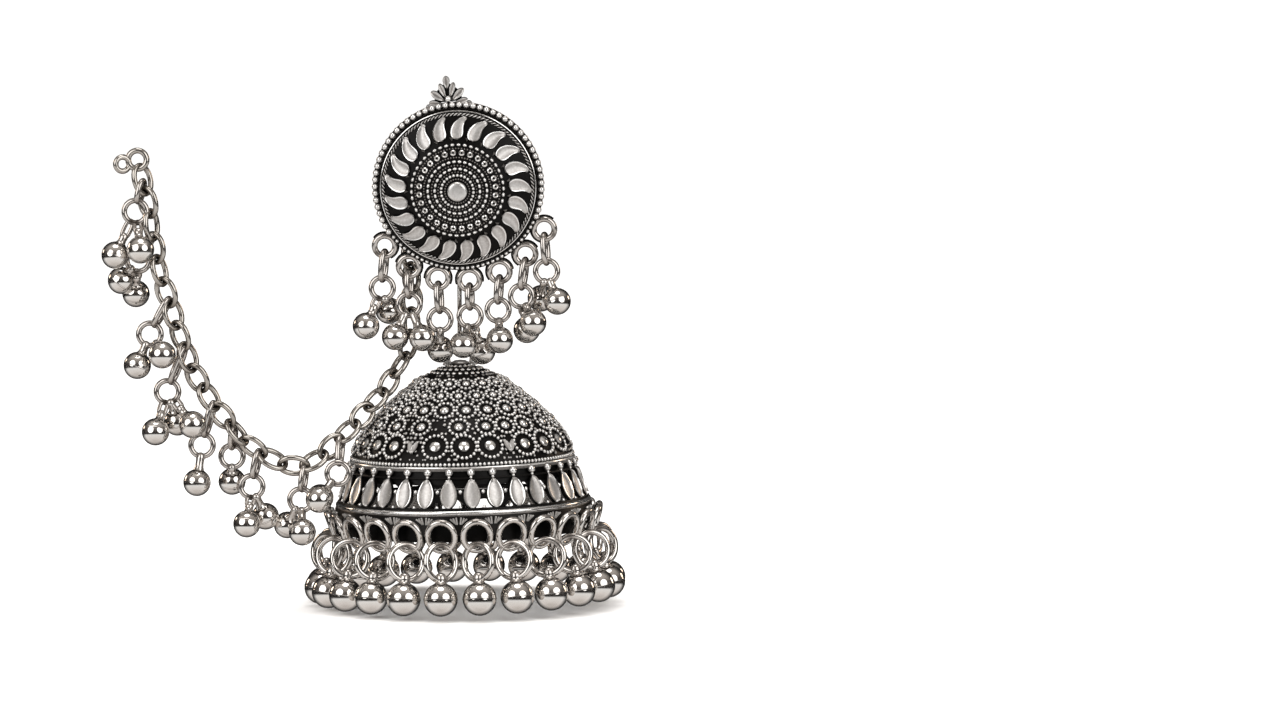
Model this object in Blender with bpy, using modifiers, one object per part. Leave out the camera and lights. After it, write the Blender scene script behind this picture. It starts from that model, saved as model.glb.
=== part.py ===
"""Jhumka earring in oxidised silver: a round stud with seven strands of ghungroo balls,
a domed bell that hangs behind them, and a support chain to the hair.

Metres, +Z up, +X to the right and -Y towards whoever looks at the face. The origin is
where the ear post leaves the back of the stud.
"""

import math

import bmesh
import bpy
import numpy as np
from mathutils import Matrix, Vector

MM = 0.001

# Stud: a stepped round shield that leans its top edge forward
disc_radius = 12.5 * MM
disc_edge = 1.0 * MM
dome_rise = 4.6 * MM
disc_lean = math.radians(8.0)
disc_roll = math.radians(6.1)
disc_sides = 28
petal_count = 21
petal_length = 3.8 * MM
petal_width = 2.2 * MM
petal_sweep = 1.5 * MM
petal_thickness = 0.9 * MM
finial_radius = 2.4 * MM
finial_thickness = 1.0 * MM
finial_lobes = 7
finial_stand = 2.3 * MM

# Ear post
post_radius = 0.45 * MM
post_length = 10.0 * MM
post_foot_radius = 2.0 * MM
post_foot_thickness = 0.6 * MM

# Loops along the stud's lower edge, one for each strand
loop_count = 7
loop_step = math.radians(18.9)
loop_radius = 1.475 * MM
loop_wire = 0.375 * MM
loop_stand = 1.3 * MM

# Strands and chain drops: a link, a round ring and one or two ghungroo balls
link_length = 4.75 * MM
link_width = 2.9 * MM
link_wire = 0.325 * MM
ring_radius = 1.59 * MM
ring_wire = 0.35 * MM
ball_radius = 1.94 * MM
neck_radius = 0.5 * MM

# Bell hanger: a staple on the stud's back, and the long link that carries the bell
staple_radius = 1.2 * MM
staple_wire = 0.4 * MM
bell_axis_x = -0.1 * MM
bell_axis_y = 5.2 * MM
bell_staple_rise = 1.9 * MM
hanger_length = 15.3 * MM
hanger_width = 3.0 * MM
hanger_wire = 0.35 * MM

# Bell: cap, pierced gallery, rim and skirt
bell_lean = math.radians(-1.3)
bell_sides = 24
bell_ring_radius = 1.65 * MM
bell_ring_wire = 0.4 * MM
cap_radius = 16.1 * MM
cap_height = 13.7 * MM
wall = 1.0 * MM
gallery_height = 6.3 * MM
rim_radius = 18.1 * MM
rim_wire = 0.5 * MM
gallery_petals = 33
gallery_petal_width = 2.6 * MM
gallery_plate = 0.8 * MM
gallery_turn = math.radians(6.3)
skirt_height = 3.2 * MM
skirt_radius = 19.2 * MM
skirt_band = 1.7 * MM
skirt_wall = 0.6 * MM
lining_depth = 4.2 * MM
lining_radius = 17.3 * MM
lining_wall = 0.5 * MM
boss_radius = 0.85 * MM
boss_height = 0.45 * MM

# Bell drops: a round ring through each skirt loop, and a large ball
drop_count = 24
skirt_loop_radius = 1.92 * MM
skirt_loop_straight = 0.6 * MM
skirt_loop_wire = 0.46 * MM
drop_ring_radius = 2.55 * MM
drop_ring_wire = 0.45 * MM
drop_ball_radius = 2.4 * MM
drop_neck_radius = 0.8 * MM
drop_neck_height = 1.4 * MM
drop_splay = math.radians(11.0)
drop_turn = math.radians(45.0)

# Support chain
chain_tube_radius = 1.0 * MM
chain_tube_points = 28
chain_staple_x = -7.1 * MM
chain_staple_y = 4.4 * MM
chain_staple_rise = 3.9 * MM
hair_ring_radius = 1.3 * MM
hair_ring_wire = 0.32 * MM

# Gap between pieces that touch, and overlap of pieces that are soldered
clearance = 0.25 * MM
solder = 0.15 * MM
round_sides = 10
wire_sides = 5

# Stud profile from the middle out: share of disc_radius, share of dome_rise
disc_steps = (
    (0.000, 1.00),
    (0.105, 1.00),
    (0.120, 0.90),
    (0.500, 0.66),
    (0.530, 0.74),
    (0.560, 0.60),
    (0.860, 0.36),
    (0.885, 0.14),
    (0.925, 0.00),
)
# Comma petal of the stud: share of its length from the round end, share of half its width
comma_stations = ((0.00, 0.0), (0.10, 0.70), (0.40, 1.0), (0.78, 0.52), (1.0, 0.0))
# Cap profile from the top down: share of cap_radius, share of cap_height
cap_steps = (
    (0.00, 0.00),
    (0.16, 0.03),
    (0.38, 0.16),
    (0.76, 0.52),
    (0.91, 0.72),
    (1.00, 1.00),
)
# Rows of raised rosettes on the cap: share of cap_height down, count, first angle in degrees
boss_rows = ((0.87, 21, 4.0), (0.62, 14, 12.0))
# Right half of a gallery petal: share of half its width, share of its height from the foot
marquise = ((0.0, 0.0), (1.0, 0.40), (1.0, 0.52), (0.0, 1.0))

# Strands left to right: sideways tilt of the link in degrees, its length as a share of
# link_length, then each ball's place from its ring as shares of hang_reach
strands = (
    (-5.0, 1.06, ((-0.40, -0.12, -0.93), (0.14, 0.39, -0.58))),
    (0.5, 0.94, ((-0.34, -0.13, -0.79), (0.34, -0.23, -0.81))),
    (3.6, 1.04, ((0.00, 0.29, -0.76),)),
    (1.5, 0.88, ((-0.16, -0.36, -0.69), (0.29, 0.15, -0.88))),
    (-3.5, 0.95, ((0.05, -0.32, -0.72),)),
    (-7.5, 1.06, ((0.29, -0.31, -0.64), (0.12, 0.34, -0.86))),
    (4.5, 1.05, ((0.27, -0.16, -0.74), (-0.15, 0.46, -0.70))),
)
# Chain drops from the hair end down: share along the chain, ring's place from the chain and
# each ball's place from the ring, both as shares of hang_reach
chain_drops = (
    (0.985, (-0.18, -0.05, -0.72), ((-0.49, -0.10, -1.05), (0.15, -0.36, -0.91))),
    (0.900, (-0.38, 0.22, -0.62), ((-0.42, 0.10, -0.50), (-0.10, 0.40, -0.84))),
    (0.795, (-0.46, 0.02, -0.85), ((-0.31, -0.02, -0.76), (0.33, -0.34, -0.48))),
    (0.712, (-0.42, 0.02, -1.05), ((-0.26, -0.38, -0.95), (0.22, 0.18, -0.76), (0.62, -0.18, -0.79))),
    (0.612, (-0.28, 0.02, -1.02), ((-0.12, -0.10, -0.91),)),
    (0.560, (-0.06, 0.30, -0.70), ((-0.02, 0.20, -0.64),)),
    (0.505, (-0.17, 0.02, -0.86), ((-0.10, -0.34, -0.89), (0.31, 0.24, -0.76))),
    (0.425, (-0.10, -0.06, -0.80), ((-0.36, 0.36, -0.66), (0.06, -0.36, -0.76))),
    (0.350, (-0.05, -0.36, -0.84), ((-0.44, -0.42, -0.60), (-0.46, 0.24, -0.62))),
)
# Route of the support chain, from its staple on the stud's back to the hair end, in metres
# from the middle of the staple's far wire
chain_route = (
    (0.0000, 0.0000, -0.0010),
    (0.0001, 0.0000, -0.0084),
    (-0.0004, -0.0004, -0.0150),
    (-0.0037, -0.0034, -0.0208),
    (-0.0086, -0.0072, -0.0264),
    (-0.0137, -0.0094, -0.0309),
    (-0.0167, -0.0102, -0.0315),
    (-0.0222, -0.0108, -0.0286),
    (-0.0269, -0.0124, -0.0232),
    (-0.0305, -0.0138, -0.0170),
    (-0.0334, -0.0150, -0.0079),
    (-0.0353, -0.0157, -0.0012),
    (-0.0361, -0.0161, 0.0056),
    (-0.0373, -0.0164, 0.0108),
)

hang_reach = ring_radius + ring_wire + 2 * ball_radius
bell_staple_drop = disc_radius - bell_staple_rise
chain_staple_drop = disc_radius - chain_staple_rise
chain_points = [
    Vector(point) + Vector((chain_staple_x, chain_staple_y, -chain_staple_drop))
    for point in chain_route
]


def make_collection(name, parent):
    collection = bpy.data.collections.new(name)
    parent.children.link(collection)
    return collection


def make_material(name, colour, roughness):
    material = bpy.data.materials.new(name)
    material.use_nodes = True
    shader = material.node_tree.nodes["Principled BSDF"]
    shader.inputs["Base Color"].default_value = (*colour, 1.0)
    shader.inputs["Metallic"].default_value = 1.0
    shader.inputs["Roughness"].default_value = roughness
    return material


def make_empty(name, matrix):
    empty = bpy.data.objects.new(name, None)
    empty.empty_display_size = 2 * MM
    parts.objects.link(empty)
    empty.matrix_world = matrix
    return empty


def make_node(name, mesh, material, parent=None, matrix=None):
    """One named piece, placed by its own matrix under an optional parent empty."""
    node = bpy.data.objects.new(name, mesh)
    parts.objects.link(node)
    node.parent = parent
    node.matrix_local = matrix or Matrix()
    mesh.materials.clear()
    mesh.materials.append(material)
    mesh.shade_smooth()
    mesh.set_sharp_from_angle(angle=math.radians(40))
    return node


def take_mesh(obj):
    """The mesh of an object as its modifiers leave it, in world space; the object goes."""
    bpy.context.view_layer.update()
    evaluated = obj.evaluated_get(bpy.context.evaluated_depsgraph_get())
    mesh = bpy.data.meshes.new_from_object(evaluated)
    mesh.transform(obj.matrix_world)
    bpy.data.objects.remove(obj)
    return mesh


def placed(mesh, matrix):
    copy = mesh.copy()
    copy.transform(matrix)
    return copy


def fused(meshes):
    """The union of several closed meshes as one mesh."""
    objects = [bpy.data.objects.new("piece", mesh) for mesh in meshes]
    group = make_collection("pieces", bpy.context.scene.collection)
    bpy.context.scene.collection.objects.link(objects[0])
    for obj in objects[1:]:
        group.objects.link(obj)
    union = objects[0].modifiers.new("union", "BOOLEAN")
    union.operation = "UNION"
    union.operand_type = "COLLECTION"
    union.collection = group
    mesh = take_mesh(objects[0])
    for obj in objects[1:]:
        bpy.data.objects.remove(obj)
    bpy.data.collections.remove(group)
    return mesh


def wire_ring(radius, wire, straight=0.0, sides=wire_sides):
    """A round or, with a straight length, an oval ring of round wire. It stands in the XZ
    plane with its long way along Z and its centre at the origin."""
    bpy.ops.mesh.primitive_torus_add(
        major_radius=radius,
        minor_radius=wire,
        major_segments=round_sides,
        minor_segments=sides,
        rotation=(0, 0, math.pi / round_sides),
    )
    ring = bpy.context.object
    mesh = take_mesh(ring)
    for vertex in mesh.vertices:
        vertex.co.y += math.copysign(straight / 2, vertex.co.y)
    mesh.transform(Matrix.Rotation(math.pi / 2, 4, "X"))
    return mesh


def turned(profile, sides):
    """A profile of (radius, height) points turned round Z, outer side first, top to bottom."""
    mesh = bpy.data.meshes.new("profile")
    points = [(radius, 0.0, height) for radius, height in profile]
    closed = profile[0][0] > 0
    edges = [(i, i + 1) for i in range(len(points) - 1)]
    if closed:
        edges.append((len(points) - 1, 0))
    mesh.from_pydata(points, edges, [])
    obj = bpy.data.objects.new("turned", mesh)
    bpy.context.scene.collection.objects.link(obj)
    screw = obj.modifiers.new("screw", "SCREW")
    screw.steps = screw.render_steps = sides
    screw.use_merge_vertices = True
    screw.merge_threshold = 1e-6
    return take_mesh(obj)


def plate(outline, thickness):
    """A flat outline of (x, y) points in the XY plane, thickened evenly to both sides."""
    mesh = bpy.data.meshes.new("plate")
    mesh.from_pydata([(x, y, 0.0) for x, y in outline], [], [range(len(outline))])
    obj = bpy.data.objects.new("plate", mesh)
    bpy.context.scene.collection.objects.link(obj)
    solidify = obj.modifiers.new("solidify", "SOLIDIFY")
    solidify.thickness = thickness
    solidify.offset = 0.0
    return take_mesh(obj)


def prism(radius_low, radius_high, height, sides):
    """A cylinder or cone frustum that stands on the XY plane."""
    mesh = bpy.data.meshes.new("prism")
    shape = bmesh.new()
    bmesh.ops.create_cone(
        shape,
        cap_ends=True,
        segments=sides,
        radius1=radius_low,
        radius2=radius_high,
        depth=height,
        matrix=Matrix.Translation((0, 0, height / 2)),
    )
    shape.to_mesh(mesh)
    shape.free()
    return mesh


def ball_mesh(radius):
    mesh = bpy.data.meshes.new("ball")
    shape = bmesh.new()
    bmesh.ops.create_uvsphere(
        shape, u_segments=round_sides, v_segments=4, radius=radius
    )
    shape.to_mesh(mesh)
    shape.free()
    return mesh


def rod_between(start, end, radius_start, radius_end, sides):
    """A straight tapered rod from one point to another."""
    along = end - start
    turn = along.to_track_quat("Z", "Y").to_matrix().to_4x4()
    rod = prism(radius_start, radius_end, along.length, sides)
    rod.transform(Matrix.Translation(start) @ turn)
    return rod


def stud_matrix():
    """The stud's own frame: x right, y up and z out of its face."""
    return Matrix.Rotation(math.pi / 2 + disc_lean, 4, "X") @ Matrix.Rotation(disc_roll, 4, "Z")


def on_stud_back(x, drop):
    """The height and depth of the stud's back plane at a drop below the post."""
    return Vector((x, drop * math.tan(disc_lean), -drop))


def disc_height(radius):
    """Height of the stepped face over the stud's back at a radius."""
    radii = [share * disc_radius for share, _ in disc_steps]
    heights = [disc_edge + rise * dome_rise for _, rise in disc_steps]
    return float(np.interp(radius, radii, heights))


def comma_outline():
    """One comma petal along +X from its round end, its tail swept towards -Y."""
    upper, lower = [], []
    for along, width in comma_stations:
        x = (along - 0.5) * petal_length
        middle = -petal_sweep * (along**1.6 - 0.35)
        half = width * petal_width / 2
        upper.append((x, middle + half))
        lower.append((x, middle - half))
    return lower + upper[-2:0:-1]


def stud_petals():
    """The ring of comma petals, each a plate laid on the slope of the shield."""
    inner, outer = disc_steps[5], disc_steps[6]
    run = (outer[0] - inner[0]) * disc_radius
    fall = (inner[1] - outer[1]) * dome_rise
    middle = (inner[0] + outer[0]) / 2 * disc_radius
    slope = Matrix.Rotation(math.atan2(fall, run), 4, "Y")
    seat = Matrix.Translation((middle, 0, disc_height(middle)))
    petal = plate(comma_outline(), petal_thickness)
    for i in range(petal_count):
        yield placed(petal, Matrix.Rotation(math.tau * i / petal_count, 4, "Z") @ seat @ slope)


def finial():
    """A small fan of lobes on top of the stud."""
    outline = [(0.55 * finial_radius, 0.0), (-0.55 * finial_radius, 0.0)]
    steps = 2 * finial_lobes
    start, end = math.radians(205), math.radians(-25)
    for i in range(steps + 1):
        angle = start + (end - start) * i / steps
        lobe = abs(math.sin(math.pi * finial_lobes * i / steps))
        reach = finial_radius * (0.83 - 0.03 * math.sin(angle)) * (0.82 + 0.25 * lobe)
        outline.append((reach * math.cos(angle), finial_stand + reach * math.sin(angle)))
    height = disc_edge / 2
    seat = Matrix.Translation((0, disc_radius - solder * 4, height))
    return placed(plate(outline[::-1], finial_thickness), seat)


def loop_angle(i):
    """Angle of a strand loop on the stud, from straight down, to the right."""
    return loop_step * (i - (loop_count - 1) / 2)


def loop_centre(i):
    """Centre of a strand loop in the stud's frame."""
    reach = disc_radius + loop_stand
    angle = loop_angle(i)
    return Vector((reach * math.sin(angle), -reach * math.cos(angle), disc_edge / 2))


def staple(x, y, drop):
    """An oval eye that lies level and is soldered to the stud's back. Its far wire runs
    along X through (x, y) at the drop below the post."""
    root = on_stud_back(x, drop)
    near = root.y - disc_edge / 2
    straight = y - near - 2 * staple_radius
    eye = wire_ring(staple_radius, staple_wire, straight)
    level = Matrix.Rotation(math.pi / 2, 4, "X")
    return placed(eye, Matrix.Translation((x, (y + near) / 2, -drop)) @ level)


def top_disc_mesh():
    profile = [(r * disc_radius, disc_edge + rise * dome_rise) for r, rise in disc_steps]
    profile += [(disc_radius, disc_edge), (disc_radius, 0.0), (0.0, 0.0)]
    pieces = [turned(profile, disc_sides), finial(), *stud_petals()]
    eye = placed(wire_ring(loop_radius, loop_wire), Matrix.Rotation(-math.pi / 2, 4, "X"))
    for i in range(loop_count):
        turn = Matrix.Rotation(loop_angle(i), 4, "Z")
        pieces.append(placed(eye, Matrix.Translation(loop_centre(i)) @ turn))
    home = stud_matrix().inverted()
    pieces.append(placed(staple(bell_axis_x, bell_axis_y, bell_staple_drop), home))
    pieces.append(placed(staple(chain_staple_x, chain_staple_y, chain_staple_drop), home))
    return fused(pieces)


def ear_post_mesh():
    """A plain post with a round foot, pointing out of the stud's back."""
    foot = prism(post_foot_radius, post_foot_radius, post_foot_thickness, 12)
    pin = prism(post_radius, post_radius, post_length, 8)
    return fused([foot, pin])


def ball_on_ring(ring_centre, centre):
    """A ghungroo ball with the neck that holds it to the nearest side of its ring."""
    along = centre - ring_centre
    grip = Vector((along.x, 0, along.z)).normalized() * ring_radius
    top = ring_centre + grip
    towards = (centre - top).normalized()
    start = top - towards * neck_radius
    return [
        placed(ball_mesh(ball_radius), Matrix.Translation(centre)),
        rod_between(start, centre, neck_radius, neck_radius, 5),
    ]


def strand_mesh(tilt_deg, share, balls):
    """A strand that hangs from the origin: the inside of the link's top is at its middle."""
    tilt = Matrix.Rotation(math.radians(tilt_deg), 4, "Y").inverted()
    edge_on = Matrix.Rotation(math.pi / 2, 4, "Z")
    run = link_length * share - 2 * link_wire
    mid_radius = link_width / 2 - link_wire
    link = placed(wire_ring(mid_radius, link_wire, run - 2 * mid_radius), edge_on)
    link = placed(link, tilt @ Matrix.Translation((0, 0, -run / 2)))
    foot = tilt @ Vector((0, 0, -run))
    ring_centre = foot + Vector((0, 0, link_wire + ring_wire - solder - ring_radius))
    pieces = [link, placed(wire_ring(ring_radius, ring_wire), Matrix.Translation(ring_centre))]
    for offset in balls:
        pieces += ball_on_ring(ring_centre, ring_centre + Vector(offset) * hang_reach)
    return fused(pieces)


def smooth_route(points, count):
    """Points evenly spaced along a Catmull-Rom curve through the chosen points."""
    points = np.array(points)
    ends = np.vstack([2 * points[0] - points[1], points, 2 * points[-1] - points[-2]])
    t = np.linspace(0, 1, 16, endpoint=False)[:, None]
    a, b, c, d = ends[:-3, None], ends[1:-2, None], ends[2:-1, None], ends[3:, None]
    curve = 0.5 * (
        2 * b + (c - a) * t + (2 * a - 5 * b + 4 * c - d) * t**2 + (3 * b - a - 3 * c + d) * t**3
    )
    curve = np.vstack([curve.reshape(-1, 3), points[-1]])
    steps = np.linalg.norm(np.diff(curve, axis=0), axis=1)
    length = np.concatenate([[0], np.cumsum(steps)])
    even = np.linspace(0, length[-1], count)
    return np.stack([np.interp(even, length, curve[:, i]) for i in range(3)], axis=1)


def chain_point(share):
    """A point of the chain's route and the way the route runs there."""
    fine = smooth_route(chain_points, 401)
    at = min(round(share * 400), 399)
    return Vector(fine[at]), Vector(fine[at + 1] - fine[at]).normalized()


def chain_tube():
    """The chain's run as one plain tube along its route."""
    curve = bpy.data.curves.new("support_chain", "CURVE")
    curve.dimensions = "3D"
    curve.bevel_depth = chain_tube_radius
    curve.bevel_resolution = 2
    curve.use_fill_caps = True
    points = smooth_route(chain_points, chain_tube_points)
    spline = curve.splines.new("POLY")
    spline.points.add(len(points) - 1)
    for target, point in zip(spline.points, points):
        target.co = (*point, 1.0)
    curve.materials.append(silver)
    tube = bpy.data.objects.new("support_chain", curve)
    parts.objects.link(tube)


def chain_drop_mesh(along, ring_offset, balls):
    """A drop that hangs from a chain point: a stem down to its balls' necks. The stem
    starts beside the chain, which runs along the given direction."""
    ring_centre = Vector(ring_offset) * hang_reach
    foot = ring_centre - Vector((0, 0, ring_radius))
    aside = (foot - along * foot.dot(along)).normalized()
    start = aside * (chain_tube_radius + link_wire + clearance)
    pieces = [rod_between(start, foot, link_wire, neck_radius, 5)]
    for offset in balls:
        centre = ring_centre + Vector(offset) * hang_reach
        lap = (centre - foot).normalized() * neck_radius
        pieces.append(placed(ball_mesh(ball_radius), Matrix.Translation(centre)))
        pieces.append(rod_between(foot - lap, centre, neck_radius, neck_radius, 5))
    return fused(pieces)


def hair_ring_mesh():
    """The stout end ring and a smaller one that meets it low on its left."""
    meeting = math.radians(27.5)
    swing = math.radians(25)
    small = 0.77 * hair_ring_radius
    x = -hair_ring_radius * math.cos(meeting) - small * math.cos(swing)
    centre = Vector((x, -small * math.sin(swing), -hair_ring_radius * math.sin(meeting)))
    side = placed(
        wire_ring(small, hair_ring_wire),
        Matrix.Translation(centre) @ Matrix.Rotation(swing, 4, "Z"),
    )
    return fused([wire_ring(hair_ring_radius, hair_ring_wire), side])


def hanger_top():
    """Height of the long link's upper wire over its staple."""
    return staple_wire + hanger_wire + clearance / 2


def hanger_mesh():
    """The long oval link, seen from its hinge: the middle of the staple's far wire."""
    mid_radius = hanger_width / 2 - hanger_wire
    run = hanger_length - 2 * hanger_wire
    link = wire_ring(mid_radius, hanger_wire, run - 2 * mid_radius)
    edge_on = Matrix.Rotation(math.pi / 2, 4, "Z")
    return placed(link, Matrix.Translation((0, 0, hanger_top() - run / 2)) @ edge_on)


def bell_pivot():
    """The long link's lowest wire, on which the bell's ring sways."""
    run = hanger_length - 2 * hanger_wire
    return Vector((bell_axis_x, bell_axis_y, -bell_staple_drop + hanger_top() - run))


def bell_ring_drop():
    """From the pivot down to the middle of the bell's own ring."""
    return bell_ring_radius - bell_ring_wire - hanger_wire - clearance / 2


def cap_top():
    """Height of the cap's crown in the bell's frame, which has the pivot as its origin."""
    return -bell_ring_drop() - bell_ring_radius + 0.75 * MM


def cap_foot():
    return cap_top() - cap_height


def cap_point(down):
    """Radius and slope of the cap's outside at a share of its height."""
    radii = [r * cap_radius for r, _ in cap_steps]
    drops = [z for _, z in cap_steps]
    step = 0.02
    radius = float(np.interp(down, drops, radii))
    spread = float(np.interp(down + step, drops, radii)) - float(np.interp(down - step, drops, radii))
    return radius, math.atan2(2 * step * cap_height, spread)


def cap_shell():
    outer = [(r * cap_radius, cap_top() - z * cap_height) for r, z in cap_steps]
    outer.append((cap_radius + 0.2 * MM, cap_foot() - 0.6 * MM))
    inner = [
        (max(r - wall, 0.0), z - wall * 0.8)
        for r, z in outer[-1:0:-2]
    ]
    inner[0] = (outer[-1][0] - wall, outer[-1][1])
    shell = turned([*outer, *inner, (0.0, cap_top() - wall * 1.2)], bell_sides)
    return placed(shell, Matrix.Rotation(math.pi / bell_sides, 4, "Z"))


def skirt_slope():
    return math.atan2(skirt_radius - rim_radius, skirt_height)


def skirt_ring():
    """The plain rim wire, the band under it and the lining behind the loops, as one
    turned ring."""
    rim = cap_foot() - gallery_height
    low = rim - skirt_band
    half = skirt_wall / 2
    low_radius = rim_radius + skirt_band * math.tan(skirt_slope())
    return turned(
        [
            (rim_radius, rim + rim_wire),
            (rim_radius + rim_wire, rim),
            (low_radius + half, low),
            (lining_radius + lining_wall / 2, low - solder),
            (lining_radius + lining_wall / 2, rim - lining_depth),
            (lining_radius - lining_wall / 2, rim - lining_depth),
            (lining_radius - lining_wall / 2, rim - rim_wire / 2),
            (rim_radius - half, rim + rim_wire / 2),
        ],
        drop_count,
    )


def gallery():
    """Upright petals that join the cap to the rim, with open gaps between them."""
    low_radius, high_radius = rim_radius, cap_radius - wall * 0.25
    middle_radius = (low_radius + high_radius) / 2
    height = gallery_height + solder * 6
    lean = math.atan2(low_radius - high_radius, gallery_height)
    right = [(width * gallery_petal_width / 2, (up - 0.5) * height) for width, up in marquise]
    left = [(-x, y) for x, y in right[-2:0:-1]]
    petal = plate(right + left, gallery_plate)
    stand = Matrix.Rotation(math.pi / 2 - lean, 4, "X")
    middle = Matrix.Translation((0, -middle_radius, cap_foot() - gallery_height / 2))
    for i in range(gallery_petals):
        turn = Matrix.Rotation(gallery_turn + math.tau * i / gallery_petals, 4, "Z")
        yield placed(petal, turn @ middle @ stand)


def skirt_loop_seat(i):
    """Frame of a skirt loop: its centre, with y outwards and z up along the skirt."""
    angle = math.tau * (i + 0.5) / drop_count
    low = cap_foot() - gallery_height - skirt_height
    seat = Matrix.Translation((0, skirt_radius, low))
    return Matrix.Rotation(angle, 4, "Z") @ seat @ Matrix.Rotation(skirt_slope(), 4, "X")


def bosses():
    """Raised rosettes of the cap, each a low stud square to the dome."""
    sunk = 0.3 * MM
    for down, count, first in boss_rows:
        radius, slope = cap_point(down)
        stud = prism(boss_radius, boss_radius * 0.55, boss_height + sunk, 5)
        lay = Matrix.Translation((radius, 0, cap_top() - down * cap_height))
        lay = lay @ Matrix.Rotation(slope, 4, "Y") @ Matrix.Translation((0, 0, -sunk))
        for i in range(count):
            angle = math.radians(first) + math.tau * i / count
            yield placed(stud, Matrix.Rotation(angle, 4, "Z") @ lay)


def bell_mesh():
    ring = placed(
        wire_ring(bell_ring_radius, bell_ring_wire), Matrix.Translation((0, 0, -bell_ring_drop()))
    )
    loop = wire_ring(skirt_loop_radius, skirt_loop_wire, skirt_loop_straight, sides=4)
    loops = [placed(loop, skirt_loop_seat(i)) for i in range(drop_count)]
    return fused([cap_shell(), ring, skirt_ring(), *gallery(), *loops, *bosses()])


def bell_drop_mesh():
    """A ring and its ball, hanging from the middle of the ring's upper wire."""
    ring_centre = Vector((0, 0, -drop_ring_radius))
    foot = ring_centre - Vector((0, 0, drop_ring_radius))
    ball_centre = foot - Vector((0, 0, drop_ring_wire + drop_ball_radius - solder))
    neck_top = ball_centre + Vector((0, 0, drop_ball_radius + drop_neck_height))
    return fused(
        [
            placed(ball_mesh(drop_ball_radius), Matrix.Translation(ball_centre)),
            placed(wire_ring(drop_ring_radius, drop_ring_wire), Matrix.Translation(ring_centre)),
            rod_between(ball_centre, neck_top, drop_neck_radius, drop_neck_radius * 0.8, 4),
        ]
    )


def bell_drop_matrix(i):
    """Hangs a drop in its skirt loop, splayed outwards, its ring turned to the side."""
    angle = math.tau * (i + 0.5) / drop_count
    low = cap_foot() - gallery_height - skirt_height
    hang = low - skirt_loop_radius - skirt_loop_straight / 2
    hang += skirt_loop_wire + drop_ring_wire + clearance
    side = 1 if math.sin(angle) > 0 else -1
    return (
        Matrix.Rotation(angle, 4, "Z")
        @ Matrix.Translation((0, skirt_radius + (low - hang) * math.tan(skirt_slope()), hang))
        @ Matrix.Rotation(drop_splay, 4, "X")
        @ Matrix.Rotation(side * drop_turn, 4, "Z")
    )


def build_stud(frame):
    make_node("top_disc", top_disc_mesh(), oxidised, frame)
    back = Matrix.Translation((0, 0, -clearance)) @ Matrix.Rotation(math.pi, 4, "X")
    make_node("ear_post", ear_post_mesh(), silver, frame, back)


def build_strands(frame):
    hang = loop_radius - loop_wire - link_wire - clearance / 2
    for i, (tilt, share, balls) in enumerate(strands):
        centre = frame.matrix_world @ loop_centre(i)
        mesh = strand_mesh(tilt, share, balls)
        place = Matrix.Translation(centre - Vector((0, 0, hang)))
        make_node(f"strand_{i + 1}", mesh, silver, matrix=place)


def build_chain():
    chain_tube()
    for i, (share, ring_offset, balls) in enumerate(chain_drops):
        point, along = chain_point(share)
        mesh = chain_drop_mesh(along, ring_offset, balls)
        make_node(f"chain_drop_{i + 1}", mesh, silver, matrix=Matrix.Translation(point))
    end = chain_points[-1]
    out = (end - chain_points[-2]).normalized()
    seat = end + out * (hair_ring_radius + hair_ring_wire + clearance)
    make_node("hair_ring", hair_ring_mesh(), silver, matrix=Matrix.Translation(seat))


def build_bell():
    hinge = Matrix.Translation((bell_axis_x, bell_axis_y, -bell_staple_drop))
    link_frame = make_empty("hanger_hinge", hinge)
    make_node("bell_link", hanger_mesh(), silver, link_frame)
    lean = Matrix.Rotation(bell_lean, 4, "Y")
    bell_frame = make_empty("bell_hinge", Matrix.Translation(bell_pivot()) @ lean)
    make_node("bell", bell_mesh(), oxidised, bell_frame)
    drop = bell_drop_mesh()
    for i in range(drop_count):
        make_node(f"bell_drop_{i + 1:02d}", drop, silver, bell_frame, bell_drop_matrix(i))


for leftover in list(bpy.data.objects):
    bpy.data.objects.remove(leftover)
parts = make_collection("jhumka_earring", bpy.context.scene.collection)
oxidised = make_material("oxidised_silver", (0.16, 0.15, 0.145), 0.4)
silver = make_material("polished_silver", (0.62, 0.58, 0.55), 0.2)

stud_frame = make_empty("stud_frame", stud_matrix())
build_stud(stud_frame)
build_strands(stud_frame)
build_chain()
build_bell()
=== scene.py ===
# %% [markdown]
# # A jhumka earring in oxidised silver
#
# A jhumka is a bell-shaped earring. This one has three parts: a round stud, a domed bell that
# hangs behind the stud's seven short strands, and a support chain that carries some of the
# weight up to the hair. The metal is a white alloy that was blackened and then rubbed, so it is
# black in its hollows and bright on its high points.
#
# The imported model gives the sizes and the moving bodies. Here each of its pieces is worked out
# with numpy as a surface, in millimetres, and replaces its plain solid.

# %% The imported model
from collections import namedtuple

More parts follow.
